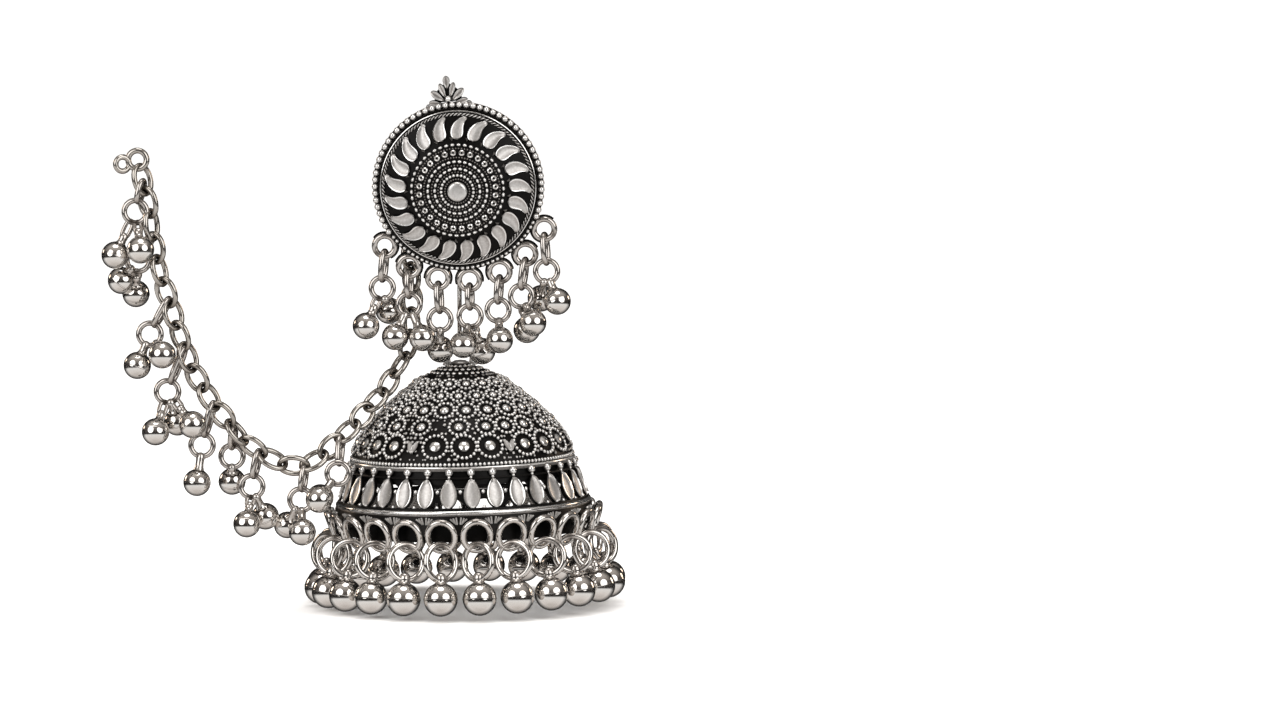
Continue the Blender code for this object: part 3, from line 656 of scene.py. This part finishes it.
drop_ring_radius, drop_ring_wire, drop_ball_radius = 2.55, 0.45, 2.4
large_ball = ghungroo(drop_ball_radius, 0.8, drop_ball_radius + drop_ring_wire + 0.25)
print("one ball:", len(large_ball.faces), "faces")

# %% [markdown]
# ## The strands
#
# Seven strands hang from the stud's loops: an oval link seen on its edge, a round ring seen face
# on, and one or two balls. The table gives the link's tilt and length and where each ball hangs,
# in shares of the reach from ring to ball.

# %% Strands
strands = (
    (-5.0, 1.06, ((-0.4, -0.12, -0.93), (0.14, 0.39, -0.58))),
    (0.5, 0.94, ((-0.34, -0.13, -0.79), (0.34, -0.23, -0.81))),
    (3.6, 1.04, ((0.0, 0.29, -0.76),)),
    (1.5, 0.88, ((-0.16, -0.36, -0.69), (0.29, 0.15, -0.88))),
    (-3.5, 0.95, ((0.05, -0.32, -0.72),)),
    (-7.5, 1.06, ((0.29, -0.31, -0.64), (0.12, 0.34, -0.86))),
    (4.5, 1.05, ((0.27, -0.16, -0.74), (-0.15, 0.46, -0.7))),
)


def ball_on_ring(ring_centre, centre):
    """A small ball whose neck grips its ring at the side nearest to the ball."""
    grip = ring_centre + unit((centre - ring_centre) * (1, 0, 1)) * ring_radius
    reach = np.linalg.norm(grip - centre)
    stem = reach if reach < ball_radius + 1.9 else ball_radius + 0.95
    ball = ghungroo(ball_radius, neck_radius + 0.12, stem, 32)
    if stem < reach:
        small_link = link(reach - stem + 0.95, 1.55, 0.29, 28, 10, 0.62)
        ball = joined([ball, placed(small_link, shift(0, 0, (reach + stem) / 2) @ turn("Z", 25))])
    return placed(ball, aim(grip - centre, centre, (0.3, 1, 0.1)))


def hoop_with_balls(centre, touched, balls):
    """A round ring with its balls, dark where the point touched and the balls' necks rub it."""
    grips = [centre + unit(np.array(b) * (1, 0, 1)) * ring_radius for b in balls]
    hoop = placed(ring(ring_radius, ring_wire + 0.05, wear=0.66), shift(*centre))
    hoop = tarnished(hoop, [touched, *grips], 0.6)
    return joined([hoop, *[ball_on_ring(centre, centre + np.array(b) * hang_reach) for b in balls]])


def strand(tilt, share, balls):
    """One strand that hangs from the origin."""
    run = 4.75 * share - 2 * link_wire
    one = link(run + 2 * link_wire, 2.9, link_wire + 0.08, wear=0.66)
    one = placed(one, turn("Y", -tilt) @ shift(0, 0, -run / 2) @ turn("Z", 73))
    foot = turn("Y", -tilt)[:3, 2] * -run
    centre = foot + (0, 0, link_wire + ring_wire - 0.15 - ring_radius)
    return joined([tarnished(one, [(0, 0, 0), foot], 0.7), hoop_with_balls(centre, foot, balls)])


hang = loop_radius - loop_wire - link_wire - clearance / 2
for i, (tilt, share, balls) in enumerate(strands):
    centre = (stud_place @ loop_place(i))[:3, 3]
    add_piece(f"ball_strand_{i + 1}", placed(strand(tilt, share, balls), shift(*(centre - (0, 0, hang)))),
              polished, "stud", [f"strand_{i + 1}"])
print("strands:", triangles_in("ball_strand"), "triangles")

# %% Sizes of the long link and the bell
hanger_length, hanger_width, hanger_wire = 15.3, 3.0, 0.35
hanger_run = hanger_length - 2 * hanger_wire
hanger_top = staple_wire + hanger_wire + clearance / 2
pivot = hinge + (0, 0, hanger_top - hanger_run)
bell_place = shift(*pivot) @ turn("Y", -1.3)
bell_ring_radius, bell_ring_wire = 1.65, 0.4
bell_ring_drop = bell_ring_radius - bell_ring_wire - hanger_wire - clearance / 2
cap_radius, rim_radius, skirt_radius = 16.1, 18.1, 19.2
cap_height, gallery_height, skirt_height = 13.7, 6.3, 3.2
cap_top = -bell_ring_drop - bell_ring_radius + 0.75
cap_foot = cap_top - cap_height
rim = cap_foot - gallery_height
skirt_low = rim - skirt_height
skirt_slope = np.degrees(np.arctan2(skirt_radius - rim_radius, skirt_height))
gallery_count, fringe_count = 33, 24
fringe_step = 360 / fringe_count
print("bell pivot:", pivot, "cap foot:", cap_foot, "rim:", rim)

# %% The long link that carries the bell
# Its wire is slimmer than the solid's, so that less of it shows between the strands
hanger = link(hanger_length, hanger_width, 0.27, wear=1.0)
hanger = placed(hanger, shift(0, 0, hanger_top - hanger_run / 2) @ turn("Z", 90))
hanger = tarnished(hanger, [(0, 0, hanger_top), (0, 0, hanger_top - hanger_run)], 0.9)
add_piece("bell_hanger", placed(hanger, shift(*hinge)), polished, "link", ["bell_link"])
print("long link:", pieces["bell_hanger"], "triangles")

# %% [markdown]
# ## The bell
#
# The bell is a dome with raised rosettes, a pierced gallery of pointed petals, a plain rim wire
# and a band with 24 loops. The dome's profile is one smooth line, and everything on it is
# seated square to that line.

# %% The dome
cap_line = smooth_line([(0.0, 0.0), (2.6, 0.5), (4.2, 1.2), (6.2, 2.4), (8.0, 3.8), (9.9, 5.3), (11.6, 6.9),
                        (13.1, 8.4), (14.3, 9.9), (15.2, 11.3), (15.8, 12.6), (cap_radius, cap_height)], 60)
cap_line[:, 1] = cap_top - cap_line[:, 1]
inside = cap_line[::-2] - (0.9, 0.8)
inside = inside[inside[:, 0] > 0.2]
foot = [(16.32, cap_foot - 0.25), (16.32, cap_foot - 0.55), (15.4, cap_foot - 0.6)]
cap_profile = np.vstack([cap_line, foot, inside[1:], [(0, cap_top - 1.0)]])
cap_wear = np.concatenate([np.full(len(cap_line), 0.16), [0.5, 0.4, 0.1], np.full(len(inside), 0.06)])
bell_shapes = [turned(cap_profile, 144, cap_wear)]
print("dome:", faces_in(bell_shapes), "faces")


def dome_radius(down):
    """Radius of the dome at a depth below its top."""
    return np.interp(down, cap_top - cap_line[:, 1], cap_line[:, 0])


def cap_seats(down, degrees, lift=0.0):
    """Places on the dome at a depth below its top, at angles from the front. The tilt is that of
    the line between the radii 0.15 mm above and below."""
    tilt = np.degrees(np.arctan2(dome_radius(down + 0.15) - dome_radius(down - 0.15), 0.3))
    places = seats(dome_radius(down), cap_top - down, tilt, degrees)
    places[:, :3, 3] += lift * places[:, :3, 2]
    return places


# %% Rosettes and granules of the dome
def rosette(size, granules, boss_share=0.5):
    """A boss in a dark moat inside a ring of granules."""
    b = boss_share * size
    boss = turned([(0, 0.52), (0.45 * b, 0.49), (0.85 * b, 0.32), (b, 0.05), (b, -0.3)], 14,
                  (1.0, 1.0, 0.9, 0.3, 0.0))
    spots = [shift(size * np.cos(t), size * np.sin(t), 0.08) for t in steps_round(granules)]
    return joined([boss, repeated(bead(0.9 * np.pi * size / granules, 6), spots)])


wide, middling, small = rosette(1.8, 18, 0.47), rosette(1.38, 14, 0.5), rosette(1.06, 11, 0.52)
front, back = [-64, -51, -37.5, -12.5, 3.3, 17.6, 38.6], np.arange(53, 290, 15.25)
sprig_here = np.arange(len(back)) % 5 == 2
# Each row has its depth, its angles, its rosette and the reach that fine granules keep from it
rows = ((10.9, [*front, *back[~sprig_here]], wide, 2.12),
        (8.3, [-60.6, -42.4, -23.8, 0.5, 17.5, 30.4, 44.6, 63.9, *np.arange(81, 290, 16.4)], middling, 1.66),
        (6.1, even(22, 6.0), middling, 1.66),
        (4.25, even(21), small, 1.3),
        (2.65, even(17, 9.0), small, 1.3))
taken = []
for down, angles, one, reach in rows:
    places = cap_seats(down, angles, 0.05)
    bell_shapes.append(repeated(one, places))
    taken += [(*place[:3, 3], reach) for place in places]
taken = np.array(taken)
bell_shapes.append(repeated(bead(0.29, 6), cap_seats(13.3, even(160), 0.05)))
# A crust of beads round the dome's top
for down, count in ((0.05, 9), (0.3, 15), (0.68, 22), (1.15, 28)):
    bell_shapes.append(repeated(bead(0.34, 8, 0.1), cap_seats(down, even(count, 13 * down), -0.12)))

# %% Fine granules between the rosettes
# Rows 0.58 mm apart, a little uneven, without the seats that lie within a rosette's reach
rng = np.random.default_rng(7)
fill = []
for down in np.arange(1.6, 13.0, 0.58):
    count = int(2 * np.pi * dome_radius(down) / 0.66)
    fill.append(cap_seats(down, even(count, rng.uniform(0, 9)) + rng.uniform(-1.2, 1.2, count), 0.04))
fill = np.vstack(fill)
gap = np.linalg.norm(fill[:, None, :3, 3] - taken[None, :, :3], axis=2) - taken[None, :, 3]
fill = fill[(gap.min(1) > -0.05) & (rng.random(len(fill)) > 0.28)]
grit = turned([(0, 0.26), (0.18, 0.16), (0.26, -0.1)], 6, (1.0, 0.75, 0.0))
fill[:, :3, :3] *= rng.uniform(0.6, 1.3, len(fill))[:, None, None]
bell_shapes.append(repeated(grit, fill))
bell_shapes.append(level_ring(16.24, cap_foot - 0.05, 0.14, wear=0.9))
print("granules:", len(fill))

# %% Sprigs: two leaves that bend apart
s = np.linspace(0, 1, 18)
sprig_half = 0.5 * np.sin(np.pi * np.clip(s, 0.01, 0.99) ** 0.8)
sprig = joined(placed(
    leaf(np.stack([side * 0.9 * s**1.5, 2.4 * s], 1), sprig_half, dish_height, dish_wear),
    shift(side * 0.12, -1.2, 0)
) for side in (1, -1))
sprig = sprig._replace(points=sprig.points * (0.8, 0.85, 1))
bell_shapes.append(repeated(sprig, cap_seats(11.0, [-25, 28.2, *back[sprig_here]], 0.15)))
print("dome ornament:", faces_in(bell_shapes), "faces")

# %% The bell's own ring, on top
# Its wire is slimmer than the solid's, so that it clears the third strand's ball at every pose
own_ring = placed(ring(bell_ring_radius, bell_ring_wire - 0.16), shift(0, 0, -bell_ring_drop))
own_ring = tarnished(own_ring, [(0, 0, -bell_ring_drop + bell_ring_radius)], 0.8)
tip = turned([(0, cap_top + 0.55), (0.8, cap_top + 0.45), (1.3, cap_top + 0.2), (1.5, cap_top - 0.2)], 24,
             (0.5, 0.7, 0.7, 0.1))
bell_shapes += [own_ring, tip]
leg_steps = 14
leg_radius = np.linspace(0.28, 0.58, leg_steps) * (1 + 0.1 * np.sin(np.arange(leg_steps) * 2.6))
for side in (-1, 1):
    leg = smooth_line([(side * 1.62, 0, -bell_ring_drop), (side * 1.75, 0, cap_top + 0.75),
                       (side * 2.0, 0, cap_top - 0.3)], leg_steps)
    bell_shapes.append(wire(leg, (0, 1, 0), leg_radius[:, None], 10, False, 0.8))

# %% The gallery
s = np.linspace(0, 1, 24)
petal_half = 1.22 * np.sin(np.pi * np.clip(s, 0.002, 0.998) ** 0.8) ** 0.72
petal = leaf(np.stack([0 * s, (s - 0.5) * 4.4], 1), petal_half,
             (-0.3, 0.2, 0.42, 0.42, 0.22, 0.05, 0.22, 0.42, 0.42, 0.2, -0.3), dish_wear)
gallery_angles = even(gallery_count, 6.3)
between_petals = gallery_angles + 180 / gallery_count
wall_top = 15.85
gallery_tilt = np.degrees(np.arctan2(rim_radius - wall_top, gallery_height))


def gallery_radius(height):
    """Radius of the gallery's slanted wall at a height between rim and dome."""
    return np.interp(height, (rim, cap_foot), (rim_radius, wall_top + 0.1))


def on_gallery(shape, height, angles=gallery_angles, out=0.0):
    """A copy of the shape at each angle, at a height of the slanted wall."""
    return repeated(shape, seats(gallery_radius(height) + out, height, gallery_tilt, angles))


bell_shapes += [
    on_gallery(petal, rim + 2.65),
    on_gallery(bead(0.56, 12, 0.1, 1.0), cap_foot - 0.72, gallery_angles, 0.15),
    on_gallery(bead(0.24, 8, 0.3, 1.0), cap_foot - 1.35, gallery_angles, 0.1),
    on_gallery(bead(0.34, 8), rim + 2.9, between_petals),
    on_gallery(bead(0.3, 8), rim + 0.75, between_petals),
    level_ring(gallery_radius(cap_foot - 1.5), cap_foot - 1.5, 0.14, wear=0.15),
    level_ring(rim_radius + 0.12, rim, 0.34, sides=12, wear=1.0),
    level_ring(rim_radius - 0.05, rim + 0.48, 0.24, wear=0.12),
    level_ring(rim_radius + 0.25, rim - 0.36, 0.13, wear=0.5),
]
# A dark collar inside, from the dome's foot down behind the tops of the petals: a sheet of painted shade,
# which stands in for the shaded inside of the bell seen between them
shade_collar = np.array([(15.75, cap_foot), (16.15, cap_foot - 2.5), (15.85, cap_foot - 2.5), (15.35, cap_foot)])
bell_shapes.append(turned(shade_collar, 96, 0.05, True))
print("gallery:", gallery_count, "petals")

# %% [markdown]
# Under the rim runs a dark band, cut to a point between its loops. Its lower edge is a function
# of the angle, a pointed wave with one point between every two loops.

# %% The lining and the band
# The lining is a strip bent round, whose ends stay apart at the back. Its outer face is dark oxide. Its
# inner face is painted pale: painted light that stands in for the white seen through the gallery's windows
lining = np.array([
    (17.7, rim), (17.55, rim - 1.5), (17.55, rim - 4.2), (17.05, rim - 4.2), (17.05, rim - 0.3)
])
bent = np.radians(np.linspace(-157, 157, 90))[:, None]
strip = np.stack([lining[:, 0] * np.sin(bent), -lining[:, 0] * np.cos(bent), lining[:, 1] + 0 * bent], -1)
bell_shapes.append(skin(strip, (0.1, 0.05, 0.12, 0.9, 0.9)))
t = steps_round(480)
wave = np.abs(((t / (2 * np.pi) * fringe_count) % 1) * 2 - 1)
deep = 1.5 + 1.5 * wave**2
band_rows = []
for out, share in ((0.28, 0.0), (0.28, 0.5), (0.28, 1.0), (-0.28, 1.0), (-0.28, 0.5), (-0.28, 0.0)):
    fall = share * deep
    radius = rim_radius + fall * np.tan(np.radians(skirt_slope)) + out
    band_rows.append(round_path(radius, rim - 0.1 - fall, t))
band_wear = np.tile([0.3, 0.08, 0.3, 0.1, 0.05, 0.05], (len(t), 1))
bell_shapes.append(skin(np.array(band_rows).transpose(1, 0, 2), band_wear, True))
print("band:", round(deep.min(), 2), "to", round(deep.max(), 2), "mm deep")

# %% The band's loops and stripes
skirt_loop_radius, skirt_loop_straight, skirt_loop_wire = 1.92, 0.6, 0.46
tall = 2 * (skirt_loop_radius + skirt_loop_wire) + skirt_loop_straight
skirt_loop = link(tall, tall - skirt_loop_straight, skirt_loop_wire, 40, 12, 0.82)
skirt_loop = tarnished(skirt_loop, [(0, 0, tall / 2)], 0.7, 0.4)
skirt_loop = placed(skirt_loop, turn("X", -90))
loop_angles = 180 - fringe_step * (np.arange(fringe_count) + 0.5)
skirt_loops = repeated(skirt_loop, seats(skirt_radius, skirt_low, -skirt_slope, loop_angles))
add_piece("bell_loops", placed(skirt_loops, bell_place), polished, "bell")
stripe_seats = seats(rim_radius + 0.7, rim - 1.45, -skirt_slope, fringe_step * np.arange(fringe_count))
for side in (-1, 1):
    for k in range(3):
        top = (side * (0.35 + 0.42 * k), 0.95 - 0.1 * k, 0)
        low = (side * (0.05 + 0.15 * k), -1.15 + 0.55 * k, 0)
        bar = wire(np.linspace(top, low, 6), (0, 0, 1), 0.13, 6, False, 0.75)
        bell_shapes.append(repeated(bar, stripe_seats))
bell = placed(joined(bell_shapes), bell_place)
add_piece("bell_dome", bell, oxidised, "bell", ["bell"])
print("bell:", pieces["bell_dome"], "triangles")

# %% The fringe: a ring and a ball on each loop
drop_ring = placed(ring(drop_ring_radius, drop_ring_wire, 48, 12, 0.8), shift(0, 0, -drop_ring_radius))
drop_ring = tarnished(drop_ring, [(0, 0, 0), (0, 0, -2 * drop_ring_radius)], 0.8, 0.7)
ball_drop = 2 * drop_ring_radius + drop_ring_wire + drop_ball_radius - 0.15
drop = joined([drop_ring, placed(large_ball, shift(0, 0, -ball_drop))])
hang_height = (skirt_low - skirt_loop_radius - skirt_loop_straight / 2 + skirt_loop_wire + drop_ring_wire
               + clearance)
out = skirt_radius + (skirt_low - hang_height) * np.tan(np.radians(skirt_slope))
for i in range(fringe_count):
    angle = fringe_step * (i + 0.5)
    side = np.sign(np.sin(np.radians(angle)))
    place = turn("Z", angle) @ shift(0, out, hang_height) @ turn("X", 11.0) @ turn("Z", side * 45.0)
    add_piece(f"fringe_ball_{i + 1:02d}", placed(drop, bell_place @ place), polished, "bell",
              [f"bell_drop_{i + 1:02d}"])
print("fringe:", triangles_in("fringe"), "triangles")

# %% [markdown]
# ## The support chain
#
# The chain hangs in a curve between the stud's back and the hair. Its links are straight, so the
# curve is cut into equal steps and each link lies along one step. Each is turned about a quarter from
# its neighbour round the chain, as linked ovals settle.

# %% Links of the chain
route = np.array([
    (-7.1, 4.4, -9.6), (-7.0, 4.4, -17.0), (-7.5, 4.0, -23.6), (-10.8, 1.0, -29.4),
    (-15.7, -2.8, -35.0), (-20.8, -5.0, -39.5), (-23.8, -5.8, -40.1), (-29.3, -6.4, -37.2),
    (-34.0, -8.0, -31.8), (-37.6, -9.4, -25.6), (-40.5, -10.6, -16.5), (-42.4, -11.3, -9.8),
    (-43.2, -11.7, -3.0), (-44.4, -12.0, 2.2),
])
fine = smooth_line(route, 401)
route_length = np.linalg.norm(np.diff(fine, axis=0), axis=1).sum()
chain_length, chain_width, chain_wire = 4.9, 3.5, 0.39
link_pitch = chain_length - 4 * chain_wire
link_count = int(round((route_length + 2.0) / link_pitch))
starts = fine[0] + (0, 0, 1.0)
ends = fine[-1] + unit(fine[-1] - fine[-3]) * 0.6
joints = smooth_line(np.vstack([starts, fine[8:-1:8], ends]), link_count + 1)
chain_link = link(chain_length, chain_width, chain_wire, 32, 12, 0.78, 0.1)
chain_link = tarnished(chain_link, [(0, 0, 1.7), (0, 0, -1.7)], 0.7, 0.85)
chain = []
for k, (a, b) in enumerate(zip(joints[:-1], joints[1:])):
    place = aim(b - a, (a + b) / 2, (0, 1, 0)) @ turn("Z", (52 if k % 2 else -30) + rng.uniform(-14, 14))
    chain.append(placed(chain_link, place))
add_piece("support_chain_links", joined(chain), tumbled, "stud", ["support_chain"])
print("chain:", round(route_length, 1), "mm in", link_count, "links")

# %% Clusters under the chain
# Each has its place along the chain, its ring's offset and its balls, in shares of the reach
clusters = (
    (0.985, (-0.18, -0.05, -0.72), ((-0.49, -0.1, -1.05), (0.15, -0.36, -0.91))),
    (0.9, (-0.38, 0.22, -0.62), ((-0.42, 0.1, -0.5), (-0.1, 0.4, -0.84))),
    (0.795, (-0.46, 0.02, -0.85), ((-0.31, -0.02, -0.76), (0.33, -0.34, -0.48))),
    (0.712, (-0.42, 0.02, -1.05), ((-0.26, -0.38, -0.95), (0.22, 0.18, -0.76), (0.62, -0.18, -0.79))),
    (0.612, (-0.28, 0.02, -1.02), ((-0.12, -0.1, -0.91),)),
    (0.56, (-0.06, 0.3, -0.7), ((-0.02, 0.2, -0.64),)),
    (0.505, (-0.17, 0.02, -0.86), ((-0.1, -0.34, -0.89), (0.31, 0.24, -0.76))),
    (0.425, (-0.1, -0.06, -0.8), ((-0.36, 0.36, -0.66), (0.06, -0.36, -0.76))),
    (0.35, (-0.05, -0.36, -0.84), ((-0.44, -0.42, -0.6), (-0.46, 0.24, -0.62))),
)


def cluster(start, ring_offset, balls):
    """A short link from a chain link, a round ring and its balls."""
    centre = start + np.array(ring_offset) * hang_reach
    top = centre + unit(start - centre) * ring_radius
    run = np.linalg.norm(start - top)
    short = link(run + 2 * link_wire + 0.5, 2.5, link_wire + 0.06, wear=0.66)
    short = placed(short, aim(start - top, (start + top) / 2) @ turn("Z", 70))
    short = tarnished(short, [start, top], 0.7)
    return joined([short, hoop_with_balls(centre, top, balls)])


for i, (share, ring_offset, balls) in enumerate(clusters):
    start = fine[min(round(share * 400), 399)]
    add_piece(f"chain_cluster_{i + 1}", cluster(start, ring_offset, balls), polished, "stud",
              [f"chain_drop_{i + 1}"])
print("clusters:", triangles_in("chain_cluster"), "triangles")

# %% The end ring, with a small one at its side
big_radius, big_wire, small_radius, small_wire = 1.3, 0.42, 1.0, 0.4
seat = fine[-1] + unit(route[-1] - route[-2]) * (big_radius + 0.32 + clearance)
meeting, swing = np.radians(27.5), np.radians(25)
side_place = shift(
    -big_radius * np.cos(meeting) - small_radius * np.cos(swing), -small_radius * np.sin(swing),
    -big_radius * np.sin(meeting)
)
side_ring = placed(ring(small_radius, small_wire, 32, 12, 0.78), side_place @ turn("Z", 25))
end_ring = joined([ring(big_radius, big_wire, 32, 12, 0.78), side_ring])
add_piece("hair_end_ring", placed(end_ring, shift(*seat)), tumbled, "stud", ["hair_ring"])

# %% The ear post
post_profile = [
    (0, 0), (1.6, 0.0), (2.0, 0.18), (2.0, 0.42), (1.6, 0.6), (0.7, 0.72), (0.46, 1.0), (0.45, 9.2),
    (0.36, 9.7), (0.15, 9.98), (0, 10.0)
]
post = turned(post_profile, 32, 0.85)
post = placed(post, stud_place @ shift(0, 0, -clearance) @ turn("X", 180))
add_piece("post", post, tumbled, "stud", ["ear_post"])
print("post:", pieces["post"], "triangles")

# %% [markdown]
# ## Camera, floor and light
#
# The earring hangs just over a white table and is seen from 68 cm away, a little from above. A
# mirror ball shows its whole surroundings, so the room matters as much as the lamps: the pale
# table below, a dark band at eye height, a grey-brown room above, and a large round softbox at
# each side of the camera, which draws the two white spots on every ball.

# %% Camera
camera = bpy.data.objects.new("camera", bpy.data.cameras.new("camera"))
bpy.context.scene.collection.objects.link(camera)
camera.location = (0.02606, -0.68, 0.023)
look_down, half_view, sensor_width = 4.05, 7.7, 36
camera.rotation_euler = (np.radians(90 - look_down), 0, 0)
camera.data.lens = sensor_width / 2 / np.tan(np.radians(half_view))
camera.data.clip_end = 30
bpy.context.scene.camera = camera
print("lens:", round(camera.data.lens, 1), "mm")

# %% Floor
floor_gap = 0.0004
floor_height = cad_box[0][2] - floor_gap
bpy.ops.mesh.primitive_plane_add(size=30, location=(0, 0, floor_height))
floor = bpy.context.object
floor.name = "table_top"
white = bpy.data.materials.new("matt_white_board")
white.use_nodes = True
board = white.node_tree.nodes["Principled BSDF"].inputs
board["Base Color"].default_value, board["Roughness"].default_value = colour("#f4f2f0"), 0.9
floor.data.materials.append(white)
floor.visible_glossy = False
print("floor at", floor_height)


# %% Lamps
middle = (0, 0, -0.03)


def lamp(name, size, power, where, hex_code="#ffffff"):
    """A round area lamp that looks at the earring's middle: its -Z axis runs there."""
    data = bpy.data.lights.new(name, "AREA")
    data.shape, data.size, data.energy, data.color = "DISK", size, power, colour(hex_code)[:3]
    obj = bpy.data.objects.new(name, data)
    bpy.context.scene.collection.objects.link(obj)
    away = np.array(where) - np.array(middle)
    obj.matrix_world = [list(row) for row in aim(away, where, (0, 0, 1)).T]


def around(azimuth, elevation, distance):
    """A point at a distance from the earring's middle: azimuth from the front (-Y) towards +X,
    elevation over the level."""
    a, e = np.radians(azimuth), np.radians(elevation)
    level = distance * np.cos(e)
    return level * np.sin(a), -level * np.cos(a), middle[2] + distance * np.sin(e)


lamp("left_softbox", 0.62, 2.3, around(-42, 20, 0.7))
lamp("right_softbox", 0.62, 2.3, around(42, 20, 0.7))
lamp("left_rim", 0.22, 0.5, around(-122, 16, 0.8), "#ffe9d2")
lamp("right_rim", 0.22, 0.5, around(122, 16, 0.8), "#ffe9d2")
lamp("overhead", 0.6, 3.0, (0, -0.1, 1.0))

# %% The room
# Rays that come off the metal see the room's bands, dimmer behind the earring. All other rays see
# an even white, which lights the scene and is the backdrop.
world = bpy.data.worlds.new("studio")
bpy.context.scene.world = world
world.use_nodes = True
tree = world.node_tree
background = tree.nodes["Background"]
ray = add_node(tree, "LightPath")
direction = add_node(tree, "TexCoord")
axes = add_node(tree, "SeparateXYZ", {0: direction.outputs["Generated"]})
level = add_node(tree, "MapRange", {"Value": axes.outputs["Z"], "From Min": -1.0, "From Max": 1.0})
room = add_node(tree, "ValToRGB", {"Fac": level.outputs[0]})
room_stops = [
    (0.0, "#d6d0cc"), (0.1, "#f0ebe8"), (0.33, "#ffffff"), (0.405, "#1a1614"), (0.5, "#2a2623"),
    (0.68, "#514b47"), (0.86, "#a09a95"), (1.0, "#c8c3be")
]
set_stops(room, room_stops)
behind = add_node(
    tree, "MapRange",
    {"Value": axes.outputs["Y"], "From Min": 0.05, "From Max": 0.64, "To Min": 1.0, "To Max": 0.06}
)
dimmed = add_node(
    tree, "VectorMath", {0: room.outputs["Color"], 3: behind.outputs[0]}, operation="SCALE"
)
seen = add_node(
    tree, "Mix", {0: ray.outputs["Is Glossy Ray"], 6: (1.25, 1.25, 1.25, 1.0), 7: dimmed.outputs[0]},
    data_type="RGBA"
)
tree.links.new(seen.outputs[2], background.inputs["Color"])
bpy.context.scene.view_settings.view_transform = "Standard"

# %% Sizes: the triangles of all the pieces
print("triangles in all:", triangles_in(""))
